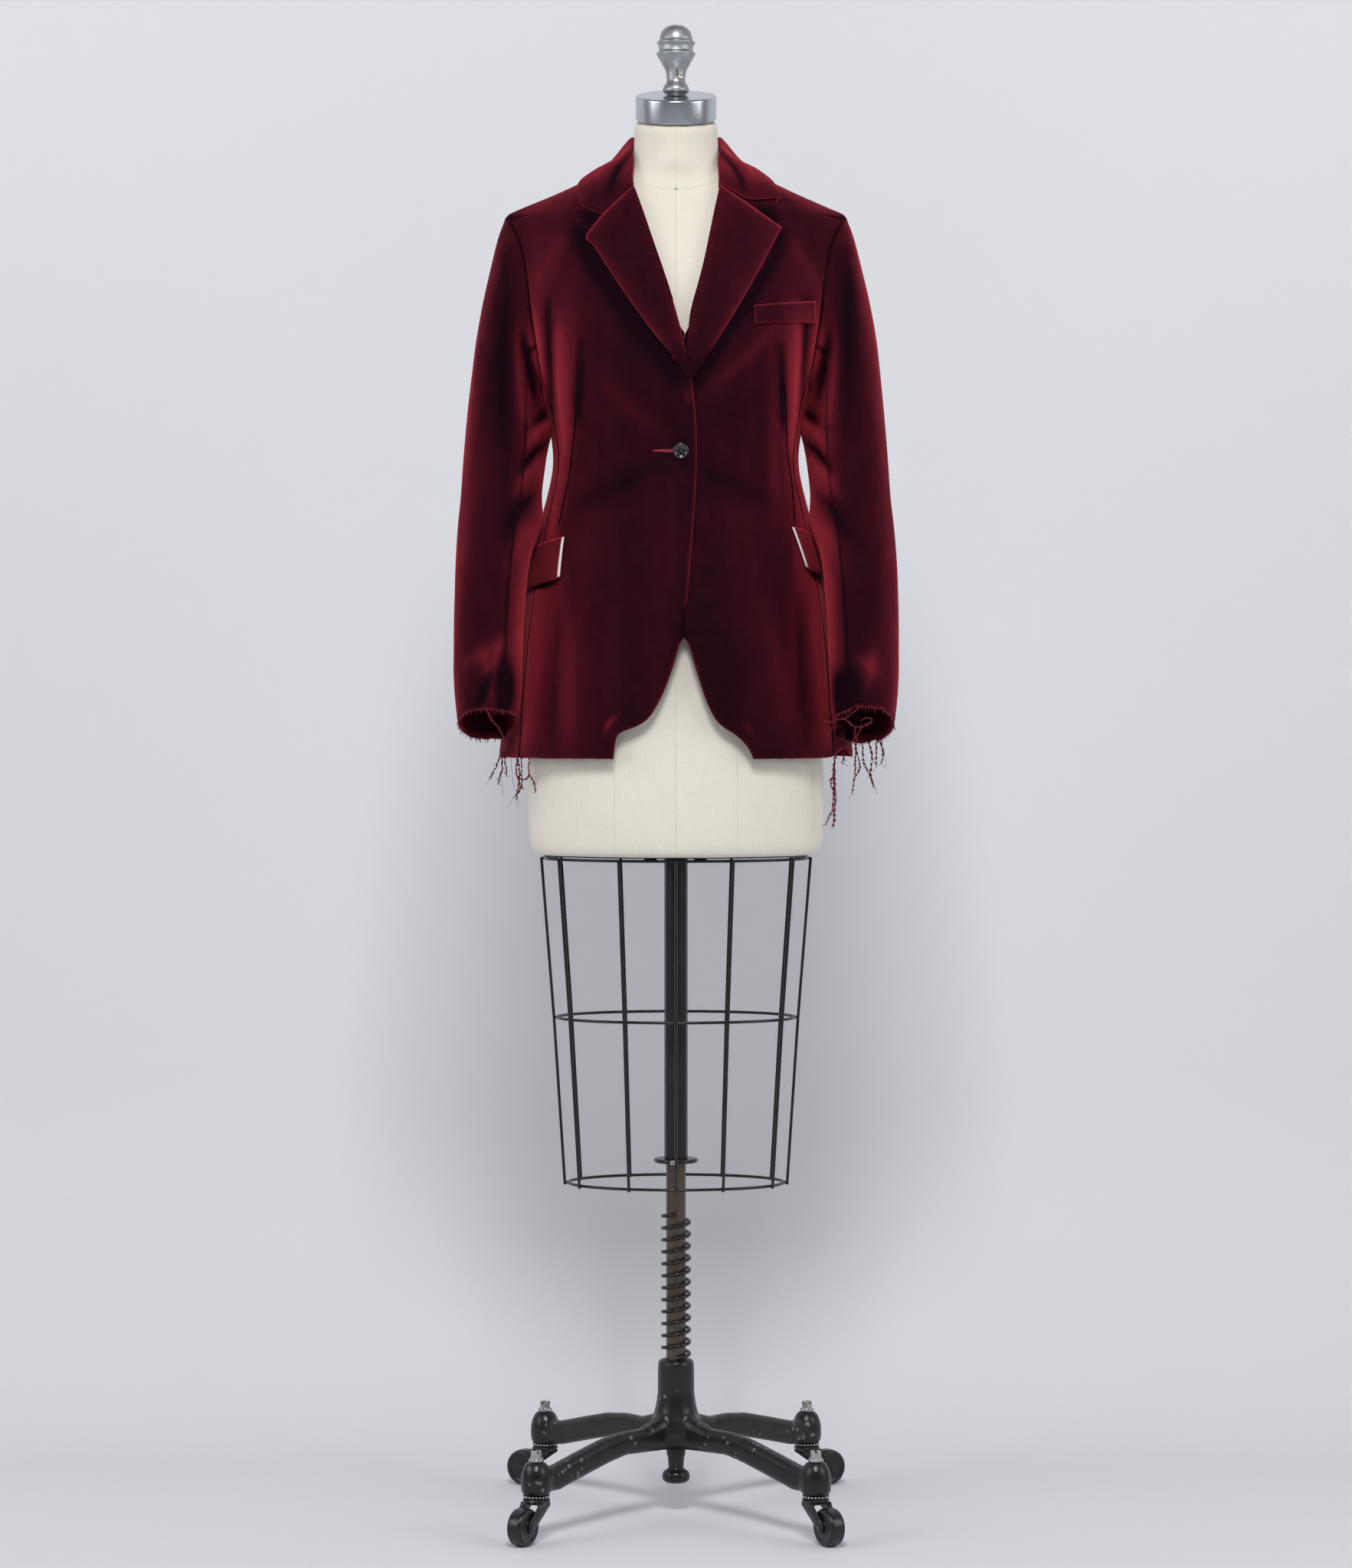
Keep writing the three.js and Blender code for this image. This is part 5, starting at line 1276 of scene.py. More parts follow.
# ------------------------------------------------------------------------------ trimmings
class Face:
    """The outside of a finished piece, for laying trimmings on it."""

    def __init__(self, *pieces: bpy.types.Object) -> None:
        """Keeps the pieces' faces for looking up."""
        points: list[Vector] = []
        faces: list[list[int]] = []
        for piece in pieces:
            first = len(points)
            points += [v.co.copy() for v in piece.data.vertices]
            faces += [[first + i for i in p.vertices] for p in piece.data.polygons]
        self.tree = BVHTree.FromPolygons(points, faces)

    def at(self, x: float, z: float, out: float = 0.0) -> Vector:
        """Point on the front at x and z, moved out of the cloth; millimetres in, metres out.

        Args:
            x: place across, in millimetres.
            z: height in millimetres.
            out: how far outside the cloth, in millimetres.

        Returns:
            The point, in metres.
        """
        spot, normal, _index, _far = self.tree.ray_cast(Vector((x * MM, -1.0, z * MM)), Vector((0, 1, 0)))
        if normal.y > 0:
            normal = -normal
        return spot + normal * out * MM


@dataclass
class Button:
    """Four-hole horn button with its sewing thread, and the worked buttonhole beside it."""

    radius: float = 9.5
    thick: float = 3.4
    hole: float = 0.95
    spread: float = 1.7
    segments: int = 64
    slit_from: float = -26.5
    slit_to: float = -2.5
    slit_height: float = 1266.5
    stitches: int = 30

    def build(self, finishes: Finishes, cloth: Face) -> bpy.types.Object:
        """Makes the button and the buttonhole.

        Args:
            finishes: the materials.
            cloth: the front that carries them.

        Returns:
            The buttonhole's stitches.
        """
        place = Bench.frame_of("button", Vector((0, -1, 0)))
        button = self._disc(place, finishes)
        Bench.seat(button, "form", "horn_button", "button")
        Bench.seat(self._thread(place, finishes), "form", "horn_button")
        stitches = self._buttonhole(cloth, finishes)
        Bench.seat(stitches, "form", "velvet")
        return stitches

    def _disc(self, place: Matrix, finishes: Finishes) -> bpy.types.Object:
        """The dished disc with its rim and four drilled holes."""
        r, t = self.radius, self.thick
        profile = Bench.rounded_profile([
            (0.0, 0.0, 0), (r - 2.2, 0.0, 0.8), (r, 1.0, 1.0), (r, t - 1.0, 0.9), (r - 1.2, t, 0.9),
            (r - 2.6, t - 0.3, 0.8), (r - 3.9, t - 1.4, 1.0), (0.0, t - 1.5, 0)])
        disc = Bench.from_bmesh("button_disc", Bench.lathe(profile, self.segments, place), finishes.horn)
        drill = bmesh.new()
        for a in (-1, 1):
            for b in (-1, 1):
                spot = Matrix.Translation(Vector((a * self.spread, b * self.spread, t / 2)) * MM)
                bmesh.ops.create_cone(drill, cap_ends=True, segments=20, radius1=self.hole * MM,
                                      radius2=self.hole * MM, depth=3 * t * MM, matrix=place @ spot)
        cutter = Bench.from_bmesh("drill", drill, finishes.horn)
        cut = disc.modifiers.new("holes", "BOOLEAN")
        cut.operation = "DIFFERENCE"
        cut.object = cutter
        Bench.applied(disc)
        bpy.data.objects.remove(cutter)
        return disc

    def _thread(self, place: Matrix, finishes: Finishes) -> bpy.types.Object:
        """Two bridges of thread through the holes, and the shank behind."""
        lines = []
        low, high = -1.0, self.thick - 1.35
        for way in (-1, 1):
            for shift in (-0.25, 0.25):
                a, b = way * self.spread + shift, self.spread
                rise = [(a, -b, low), (a, -b, high - 0.3), (a, -b * 0.5, high + 0.2), (a, b * 0.5, high + 0.2),
                        (a, b, high - 0.3), (a, b, low)]
                lines.append([place @ (Vector(p) * MM) for p in rise])
        return Bench.wires("button_thread", lines, 0.32, finishes.black_thread)

    def _buttonhole(self, cloth: Face, finishes: Finishes) -> bpy.types.Object:
        """Close stitches over both lips of the slit, widening towards the edge, with a cord under them."""
        draw = random.Random(SEED + 5)
        lines = []
        for i in range(self.stitches):
            t = i / (self.stitches - 1)
            x = self.slit_from + (self.slit_to - self.slit_from) * t
            half = 0.5 + 1.5 * t**0.7 + draw.uniform(-0.15, 0.15)
            lean = draw.uniform(-0.15, 0.15)
            for way in (-1, 1):
                ends = [(x, self.slit_height + way * 0.15, 0.2), (x + lean, self.slit_height + way * half * 0.6, 0.75),
                        (x + lean * 2, self.slit_height + way * half, 0.1)]
                lines.append([cloth.at(*p) for p in ends])
        for way in (-0.35, 0.35):
            steps = [self.slit_from + (self.slit_to - self.slit_from) * k / 14 for k in range(15)]
            lines.append([cloth.at(x, self.slit_height + way, 0.45) for x in steps])
        return Bench.wires("buttonhole_stitches", lines, 0.34, finishes.stitch, sides=2)


class Yarn:
    """Makes uneven loose yarns and hairs."""

    def __init__(self, seed: int) -> None:
        """Fixes the draw."""
        self.draw = random.Random(seed)
        self.lines: list[list[Vector]] = []
        self.swell: list[list[float]] = []

    def run(self, points: list[Vector], size: float, wobble: float, step: float = 0.9, lumps: float = 0.6) -> None:
        """Adds one yarn along a smooth line through the points.

        Args:
            points: places in metres.
            size: thickness as a share of the piece's radius.
            wobble: how far it wanders, in millimetres.
            step: length between its points, in millimetres.
            lumps: how uneven its thickness is, from 0 to 1.
        """
        line = self._smooth(points, step)
        jolt = [Vector([self.draw.gauss(0, wobble * MM) for _ in range(3)]) for _ in line]
        soft = [(jolt[max(i - 1, 0)] + jolt[i] * 2 + jolt[min(i + 1, len(line) - 1)]) / 4 for i in range(len(line))]
        soft[0] = Vector()
        self.lines.append([p + s for p, s in zip(line, soft)])
        beat = self.draw.uniform(2.2, 3.4)
        turn = self.draw.uniform(0, math.pi)
        thick = []
        for i in range(len(line)):
            lump = 0.5 + 0.5 * math.sin(i * step / beat * math.pi + turn)
            fade = min(1.0, (len(line) - i) / 4)
            thick.append(size * fade * (1 - lumps + lumps * lump + self.draw.uniform(-0.12, 0.12)))
        self.swell.append(thick)

    def hair(self, start: Vector, way: Vector, length: float, size: float) -> None:
        """Adds one short curled hair from a place along a direction; its length is in millimetres."""
        bend = Vector([self.draw.gauss(0, 0.35) for _ in range(3)])
        points = [start + (way * t + bend * t * t * 0.6) * length * MM for t in (0, 0.35, 0.7, 1.0)]
        self.run(points, size, 0.05, max(length / 6, 0.5), 0.15)

    @staticmethod
    def _smooth(points: list[Vector], step: float) -> list[Vector]:
        """Points a step apart on a smooth line through the given ones."""
        held = [points[0] * 2 - points[1], *points, points[-1] * 2 - points[-2]]
        line = []
        for a, b, c, d in zip(held, held[1:], held[2:], held[3:]):
            count = max(int((c - b).length / (step * MM)), 1)
            for k in range(count):
                t = k / count
                line.append((b * 2 + (c - a) * t + (a * 2 - b * 5 + c * 4 - d) * t * t
                             + (b * 3 - a - c * 3 + d) * t**3) / 2)
        return [*line, points[-1]]

    def piece(self, name: str, radius: float, material: bpy.types.Material, sides: int = 1) -> bpy.types.Object:
        """Turns every yarn into one mesh."""
        return Bench.wires(name, self.lines, radius, material, sides=sides, swell=self.swell)


@dataclass
class Frays:
    """Unravelled edges of the cut cuffs and hem: rolled edge yarns, hanging yarns and hairs."""

    cuff_middle: tuple = (220.5, -84.0)
    hem: float = 909.0
    hem_right: tuple = (
        ((-208, 912), (-213, 899), (-218, 889), (-222, 882)),
        ((-207, 912), (-207, 894), (-210, 883), (-212, 875)),
        ((-204, 912), (-202, 895), (-201, 885)),
        ((-188, 912), (-185, 889), (-187, 869), (-189, 857)),
        ((-187, 912), (-189, 890), (-184, 872), (-190, 862)),
        ((-182, 912), (-182, 887), (-181, 872)),
        ((-173, 912), (-173, 889), (-167, 878), (-166, 867)),
        ((-187, 884), (-181, 881), (-178, 882), (-173, 887)),
    )
    hem_right_hairs: tuple = (
        ((-196, 910), (-194, 885), (-191, 868)),
        ((-208, 887), (-207, 869), (-205, 859)),
        ((-188, 866), (-194, 857), (-198, 848)),
        ((-186, 858), (-187, 852), (-190, 844)),
        ((-219, 888), (-225, 879), (-227, 872)),
    )
    cuff_left: tuple = (
        ((187, 912), (187, 883), (186, 863), (185, 847), (181, 838), (177, 829)),
        ((189, 912), (186, 893), (188, 863), (187, 847), (187, 835), (185, 824)),
        ((186, 889), (183, 882), (183, 874), (187, 867)),
        ((212, 924), (218, 897), (212, 883), (209, 865)),
        ((213, 924), (212, 897), (212, 885)),
        ((221, 924), (223, 900), (230, 887), (234, 872)),
        ((228, 926), (232, 911), (231, 893), (231, 886), (234, 874)),
        ((237, 928), (237, 907), (237, 896)),
        ((241, 930), (245, 913), (243, 900)),
        ((239, 930), (244, 919), (245, 911)),
        ((199, 914), (198, 906), (197, 900)),
    )
    cuff_left_hairs: tuple = (
        ((209, 868), (207, 862), (204, 858)),
        ((234, 876), (237, 868), (238, 862)),
        ((245, 911), (248, 903), (247, 894)),
        ((243, 902), (246, 896), (250, 893)),
        ((180, 836), (177, 829), (173, 826)),
    )
    ribbon_right: tuple = ((-222, 966), (-215, 952), (-208, 943), (-202, 931), (-201, 919))
    loops_left: tuple = (
        ((172, 951), (181, 950), (189, 953), (197, 953), (205, 946), (214, 944), (223, 947), (229, 950)),
        ((194, 953), (203, 958), (208, 963), (213, 967)),
        ((216, 947), (214, 940), (209, 932), (204, 924)),
        ((215, 951), (221, 955), (228, 953), (225, 949), (218, 947)),
        ((182, 944), (179, 938), (176, 931)),
        ((209, 944), (208, 936), (212, 926)),
    )

    def build(self, finishes: Finishes, rims: dict[str, list[Vector]]) -> dict[str, list[bpy.types.Object]]:
        """Makes the frays of both cuffs and of the hem.

        Args:
            finishes: the materials.
            rims: points of the raw edges of each panel, in metres.

        Returns:
            The frays on each panel that has them.
        """
        frays = {}
        for side, sign in (("left", 1), ("right", -1)):
            rim = self._ring(rims[f"sleeve_top_{side}"] + rims[f"sleeve_under_{side}"],
                             Vector((sign * self.cuff_middle[0], self.cuff_middle[1])) * MM)
            edge = self._edge(rim, SEED + sign, 3, 1.3, 150, (2.0, 7.0))
            piece = edge.piece(f"cuff_edge_{side}", 0.75, finishes.yarn)
            Bench.seat(piece, "form", "velvet")
            frays[f"sleeve_top_{side}"] = [piece]
        bottoms = [p for name, points in rims.items() if "sleeve" not in name for p in points]
        hem = Yarn(SEED + 9)
        for p in bottoms[::2]:
            away = Vector((p.x, p.y, 0)).normalized() * 0.35 + Vector((0, 0, -1))
            hem.hair(p + Vector((0, 0, 0.0008)), away, hem.draw.uniform(0.8, 2.6), hem.draw.uniform(0.5, 1.0))
        fuzz = hem.piece("hem_fuzz", 0.26, finishes.yarn)
        Bench.seat(fuzz, "form", "velvet")
        frays["side_right"] = [fuzz, self._hanging("right", self.hem_right, self.hem_right_hairs, finishes,
                                                   "fringe_right")]
        frays["sleeve_top_left"].append(self._hanging("left", self.cuff_left, self.cuff_left_hairs, finishes,
                                                      "fringe_left"))
        loops, ribbon = self._loops(finishes)
        frays["sleeve_top_left"].append(loops)
        frays["sleeve_top_right"].append(ribbon)
        return frays

    def _ring(self, points: list[Vector], middle: Vector) -> list[Vector]:
        """The rim's points in order round the arm, thinned."""
        ordered = sorted(points, key=lambda p: math.atan2(p.y - middle.y, p.x - middle.x))
        return ordered[::2]

    def _edge(self, rim: list[Vector], seed: int, plies: int, spread: float, hairs: int, reach: Pair) -> Yarn:
        """Yarns that roll along the raw edge, with hairs that point down and out."""
        yarn = Yarn(seed)
        middle = sum(rim, Vector()) / len(rim)
        count = len(rim)
        for ply in range(plies):
            start = 0
            while start < count:
                run = yarn.draw.randint(8, 22)
                spots = [rim[(start + k) % count] for k in range(0, run + 1, 2)]
                shift = Vector([yarn.draw.uniform(-spread, spread) * MM * 0.5 for _ in range(3)])
                if len(spots) > 2:
                    yarn.run([p + shift for p in spots], yarn.draw.uniform(0.7, 1.25), 0.45, 0.9, 0.55)
                start += run + yarn.draw.randint(0, 4)
        for _ in range(hairs):
            spot = yarn.draw.choice(rim)
            out = Vector((spot.x - middle.x, spot.y - middle.y, 0)).normalized()
            way = (out * yarn.draw.uniform(-0.3, 0.5) + Vector((yarn.draw.gauss(0, 0.3), yarn.draw.gauss(0, 0.3), -1)))
            yarn.hair(spot, way.normalized(), yarn.draw.uniform(*reach), yarn.draw.uniform(0.25, 0.7))
        return yarn

    def _depth(self, side: str, x: float, z: float) -> float:
        """How far forward a hanging yarn is, in millimetres, under the edge that it hangs from."""
        if side == "right":
            return 24 - 164 * math.sqrt(max(1 - (x / 214) ** 2, 0.0)) + 1.0
        turn = min(max((x - self.cuff_middle[0]) / 37.5, -0.96), 0.96)
        return self.cuff_middle[1] + 42 * math.sqrt(1 - turn**2)

    def _hanging(self, side: str, yarns: tuple, hairs: tuple, finishes: Finishes, node: str) -> bpy.types.Object:
        """Lumpy yarns that hang free from an edge, with their thin hairs."""
        yarn = Yarn(SEED + len(side))
        for line in yarns:
            depth = self._depth(side, line[0][0], line[0][1])
            points = [Vector((x, depth + (k * 1.5), z)) * MM for k, (x, z) in enumerate(line)]
            for ply in range(2):
                shift = Vector((yarn.draw.uniform(-0.5, 0.5), yarn.draw.uniform(-0.5, 0.5), 0)) * MM
                yarn.run([p + shift for p in points], yarn.draw.uniform(0.75, 1.15), 0.75, 0.8, 0.75)
            for p in points[1:]:
                for _ in range(3):
                    way = Vector((yarn.draw.gauss(0, 0.7), yarn.draw.gauss(0, 0.5), -0.6))
                    yarn.hair(p, way, yarn.draw.uniform(1.5, 4.5), 0.3)
        for line in hairs:
            depth = self._depth(side, line[0][0], line[0][1])
            yarn.run([Vector((x, depth + 2.0, z)) * MM for x, z in line], 0.22, 0.15, 1.2, 0.1)
        piece = yarn.piece(f"hanging_yarns_{side}", 0.95, finishes.yarn)
        Bench.seat(piece, "form", "velvet", node)
        return piece

    def _loops(self, finishes: Finishes) -> list[bpy.types.Object]:
        """Flat ribbons of pulled yarn across the cuffs' mouths."""
        front = self.cuff_middle[1] - 44.5
        yarn = Yarn(SEED + 21)
        for line in self.loops_left:
            points = [Vector((x, front + abs(x - 215) * 0.12, z)) * MM for x, z in line]
            for ply in range(2):
                shift = Vector((0.4 * ply, 0.3 * ply, 0.5 * ply)) * MM
                yarn.run([p + shift for p in points], 1.0, 0.4, 1.0, 0.35)
        loops = yarn.piece("cuff_loops_left", 0.62, finishes.yarn, 2)
        Bench.seat(loops, "form", "velvet")
        yarn = Yarn(SEED + 22)
        points = [Vector((x, front + k * 7.0, z)) * MM for k, (x, z) in enumerate(self.ribbon_right)]
        for ply in range(3):
            shift = Vector((0.5 * ply, 0.2 * ply, 0.2 * ply)) * MM
            yarn.run([p + shift for p in points], 1.0, 0.35, 1.0, 0.35)
        ribbon = yarn.piece("cuff_ribbon_right", 0.62, finishes.yarn, 2)
        Bench.seat(ribbon, "form", "velvet")
        return [loops, ribbon]


# ------------------------------------------------------------------------------ the form
@dataclass
class Form:
    """Canvas torso with its metal neck cap, knob and wire cage."""

    neck: tuple = (0.0, -13.0, 1663.5)
    tilt: float = 15.0
    cap_radius: float = 48.0
    cap_tall: float = 28.5
    seat: float = 0.3
    grow: float = 1.010
    lip_below: float = 800.0
    lip: float = 4.0
    plate: tuple = (158.0, 102.0, 789.4, 793.6)
    wire: float = 1.8
    hoops: tuple = (("top", 786.4, 157.0, 100.0), ("middle", 596.0, 142.0, 90.0), ("low", 398.0, 129.0, 81.0))
    wire_angles: tuple = (0, 30, 65, 90, 115, 150, 180, -150, -115, -90, -65, -30)
    knob: tuple = (
        (0.0, 1774.6, 0), (8.0, 1773.8, 4), (14.6, 1770.0, 5), (18.2, 1764.0, 5), (19.6, 1758.0, 2),
        (19.3, 1756.6, 0.6), (20.2, 1755.6, 0.6), (22.6, 1754.2, 0.7), (22.6, 1752.8, 0.7), (20.4, 1749.4, 1.5),
        (20.2, 1744.4, 1.5), (20.6, 1743.2, 0.5), (23.1, 1740.8, 0.7), (23.1, 1739.4, 0.7), (19.6, 1733.4, 2),
        (15.6, 1726.4, 4), (12.2, 1720.4, 4), (11.2, 1713.0, 4), (10.9, 1707.4, 3), (14.4, 1702.0, 2),
        (15.8, 1698.6, 1.5), (15.4, 1695.6, 1), (13.4, 1694.0, 0.8), (10.4, 1693.4, 0), (10.4, 1690.0, 0),
        (0.0, 1690.0, 0),
    )

    def build(self, finishes: Finishes) -> None:
        """Makes the form's pieces."""
        self._torso(finishes)
        self._cap(finishes)
        self._knob(finishes)
        self._plate(finishes)
        self._cage(finishes)

    def _neck_frame(self, up: float) -> Matrix:
        """A place on the neck's tilted axis, at a height above its top."""
        turn = math.radians(self.tilt)
        x, y, z = self.neck
        spot = Vector((x, y - up * math.sin(turn), z + up * math.cos(turn))) * MM
        return Matrix.Translation(spot) @ Matrix.Rotation(turn, 4, "X")

    def _torso(self, finishes: Finishes) -> None:
        """The padded canvas torso, fine and smooth, and the pin at its neck seam."""
        bm = Bench.merged("form_torso")
        bmesh.ops.join_triangles(bm, faces=bm.faces, angle_face_threshold=math.radians(60),
                                 angle_shape_threshold=math.radians(180))
        for vert in bm.verts:
            vert.co.x *= self.grow
            vert.co.y *= self.grow
            if vert.co.z < self.lip_below * MM:
                vert.co.z -= self.lip * MM
        torso = Bench.from_bmesh("torso_canvas", bm, finishes.canvas)
        Bench.subdivide(torso, 3)
        Bench.applied(torso)
        Bench.seat(torso, "form", "canvas", "form_torso")
        face = Face(torso)
        pin = bmesh.new()
        bmesh.ops.create_uvsphere(pin, u_segments=16, v_segments=10, radius=1.5 * MM,
                                  matrix=Matrix.Translation(face.at(0.0, 1577.0, 0.5)))
        Bench.seat(Bench.from_bmesh("neck_pin", pin, finishes.chrome), "form", "chrome")

    def _cap(self, finishes: Finishes) -> None:
        """The polished disc on the neck, with a fine groove under its top edge."""
        r, t = self.cap_radius, self.cap_tall
        profile = Bench.rounded_profile([
            (0.0, 0.0, 0), (r - 0.6, 0.0, 0.5), (r, 0.8, 0.6), (r, t - 1.6, 1.2), (r - 1.4, t, 1.2),
            (r - 5.0, t, 0.5), (r - 5.6, t - 0.25, 0.3), (r - 6.2, t, 0.3), (14.0, t, 0.4), (13.6, t - 0.3, 0.2),
            (0.0, t - 0.3, 0)])
        cap = Bench.from_bmesh("cap_disc", Bench.lathe(profile, 128, self._neck_frame(self.seat)), finishes.cap)
        Bench.seat(cap, "form", "cap_steel", "neck_cap")

    def _knob(self, finishes: Finishes) -> None:
        """The turned acorn knob with its slot, pin and set screw."""
        foot = self.neck[1] - (self.cap_tall + self.seat) * math.sin(math.radians(self.tilt))
        place = Matrix.Translation(Vector((0, foot, 0)) * MM)
        knob = Bench.from_bmesh("acorn_knob", Bench.lathe(Bench.rounded_profile(list(self.knob)), 96, place),
                                finishes.alloy)
        Bench.seat(knob, "form", "finial_alloy", "finial")
        slot = bmesh.new()
        spot = Matrix.Translation(Vector((1.3, foot - 11.9, 1719.5)) * MM)
        bmesh.ops.create_cube(slot, size=1.0, matrix=spot @ Matrix.Diagonal((1.3 * MM, 2.4 * MM, 13.0 * MM, 1.0)))
        bmesh.ops.bevel(slot, geom=slot.edges, offset=0.5 * MM, segments=3, profile=0.5, affect="EDGES", material=-1)
        Bench.seat(Bench.from_bmesh("knob_slot", slot, finishes.rubber), "form", "black_enamel")
        head = Bench.rounded_profile([(0.0, 0.0, 0), (3.1, 0.0, 0.3), (3.1, 2.2, 0.8), (1.6, 3.0, 0.5), (0.0, 3.0, 0)])
        turn = Matrix.Rotation(math.radians(-62), 4, "Z") @ Matrix.Rotation(math.radians(90), 4, "Y")
        way = Vector((math.cos(math.radians(-62)), math.sin(math.radians(-62)), 0))
        spot = Matrix.Translation((Vector((0, foot, 1711.5)) + way * 10.2) * MM)
        Bench.seat(Bench.from_bmesh("knob_pin", Bench.lathe(head, 24, spot @ turn), finishes.chrome), "form", "chrome")

    def _plate(self, finishes: Finishes) -> None:
        """The wooden bottom's black edge plate, its two hanger tabs and the two eyelets."""
        wide, deep, low, high = self.plate
        profile = Bench.rounded_profile([(0.0, low, 0), (1.0, low, 0.0), (1.0, high, 0.0), (0.0, high, 0)])
        stretch = Matrix.Diagonal((wide, deep, 1.0, 1.0))
        bm = Bench.lathe(profile, 96, stretch)
        Bench.seat(Bench.from_bmesh("bottom_plate", bm, finishes.wire, False), "form", "black_enamel", "base_plate")
        for x in (-30.0, 29.0):
            tab = bmesh.new()
            depth = -deep * math.sqrt(1 - (x / wide) ** 2) + 4.0
            spot = Matrix.Translation(Vector((x, depth, low - 2.0)) * MM)
            bmesh.ops.create_cube(tab, size=1.0, matrix=spot @ Matrix.Diagonal((15 * MM, 5 * MM, 3.6 * MM, 1.0)))
            bmesh.ops.bevel(tab, geom=tab.edges, offset=0.6 * MM, segments=2, profile=0.5, affect="EDGES", material=-1)
            name = f"hanger_tab_{'left' if x > 0 else 'right'}"
            Bench.seat(Bench.from_bmesh(name, tab, finishes.wire), "form", "black_enamel")
        for x in (-151.5, 151.5):
            ring = [Vector((x + 3.2 * math.cos(a), -30.0, 790.0 + 3.2 * math.sin(a))) * MM
                    for a in [math.pi + math.pi * k / 12 for k in range(13)]]
            name = f"eyelet_{'left' if x > 0 else 'right'}"
            Bench.seat(Bench.wires(name, [ring], 0.7, finishes.chrome), "form", "chrome")

    def _cage(self, finishes: Finishes) -> None:
        """Three welded hoops and twelve upright wires."""
        for name, z, wide, deep in self.hoops:
            ring = [Vector((wide * math.cos(a), deep * math.sin(a), z)) * MM
                    for a in [2 * math.pi * k / 96 for k in range(96)]]
            hoop = Bench.wires(f"hoop_{name}", [ring], self.wire, finishes.wire, closed=True)
            Bench.seat(hoop, "form", "black_enamel", f"cage_hoop_{name}")
        reach = 2 * self.wire + 0.3
        welds = bmesh.new()
        for i, degrees in enumerate(self.wire_angles):
            turn = math.radians(degrees)
            line = []
            for (_name, z, wide, deep), over in zip(self.hoops, (0.5, 0.0, -1.5)):
                out = Vector((math.cos(turn) / wide, math.sin(turn) / deep, 0)).normalized()
                ring = Vector((wide * math.cos(turn), deep * math.sin(turn), z))
                line.append((ring + out * reach + Vector((0, 0, over * self.wire))) * MM)
                weld = (ring + out * reach * 0.5) * MM
                bmesh.ops.create_icosphere(welds, subdivisions=2, radius=1.9 * MM, matrix=Matrix.Translation(weld))
            wire = Bench.wires(f"upright_{i + 1:02d}", [self._eased(line)], self.wire, finishes.wire)
            Bench.seat(wire, "form", "black_enamel", f"cage_wire_{i + 1:02d}")
        Bench.seat(Bench.from_bmesh("cage_welds", welds, finishes.wire), "form", "black_enamel")

    @staticmethod
    def _eased(line: list[Vector]) -> list[Vector]:
        """Points along an upright, so that its bend at the middle hoop is soft."""
        top, middle, low = line
        points = []
        for k in range(25):
            t = k / 24
            spot = top.lerp(middle, t * 2) if t < 0.5 else middle.lerp(low, t * 2 - 1)
            points.append(spot)
        return [points[0], *[(a + b * 2 + c) / 4 for a, b, c in zip(points, points[1:], points[2:])], points[-1]]


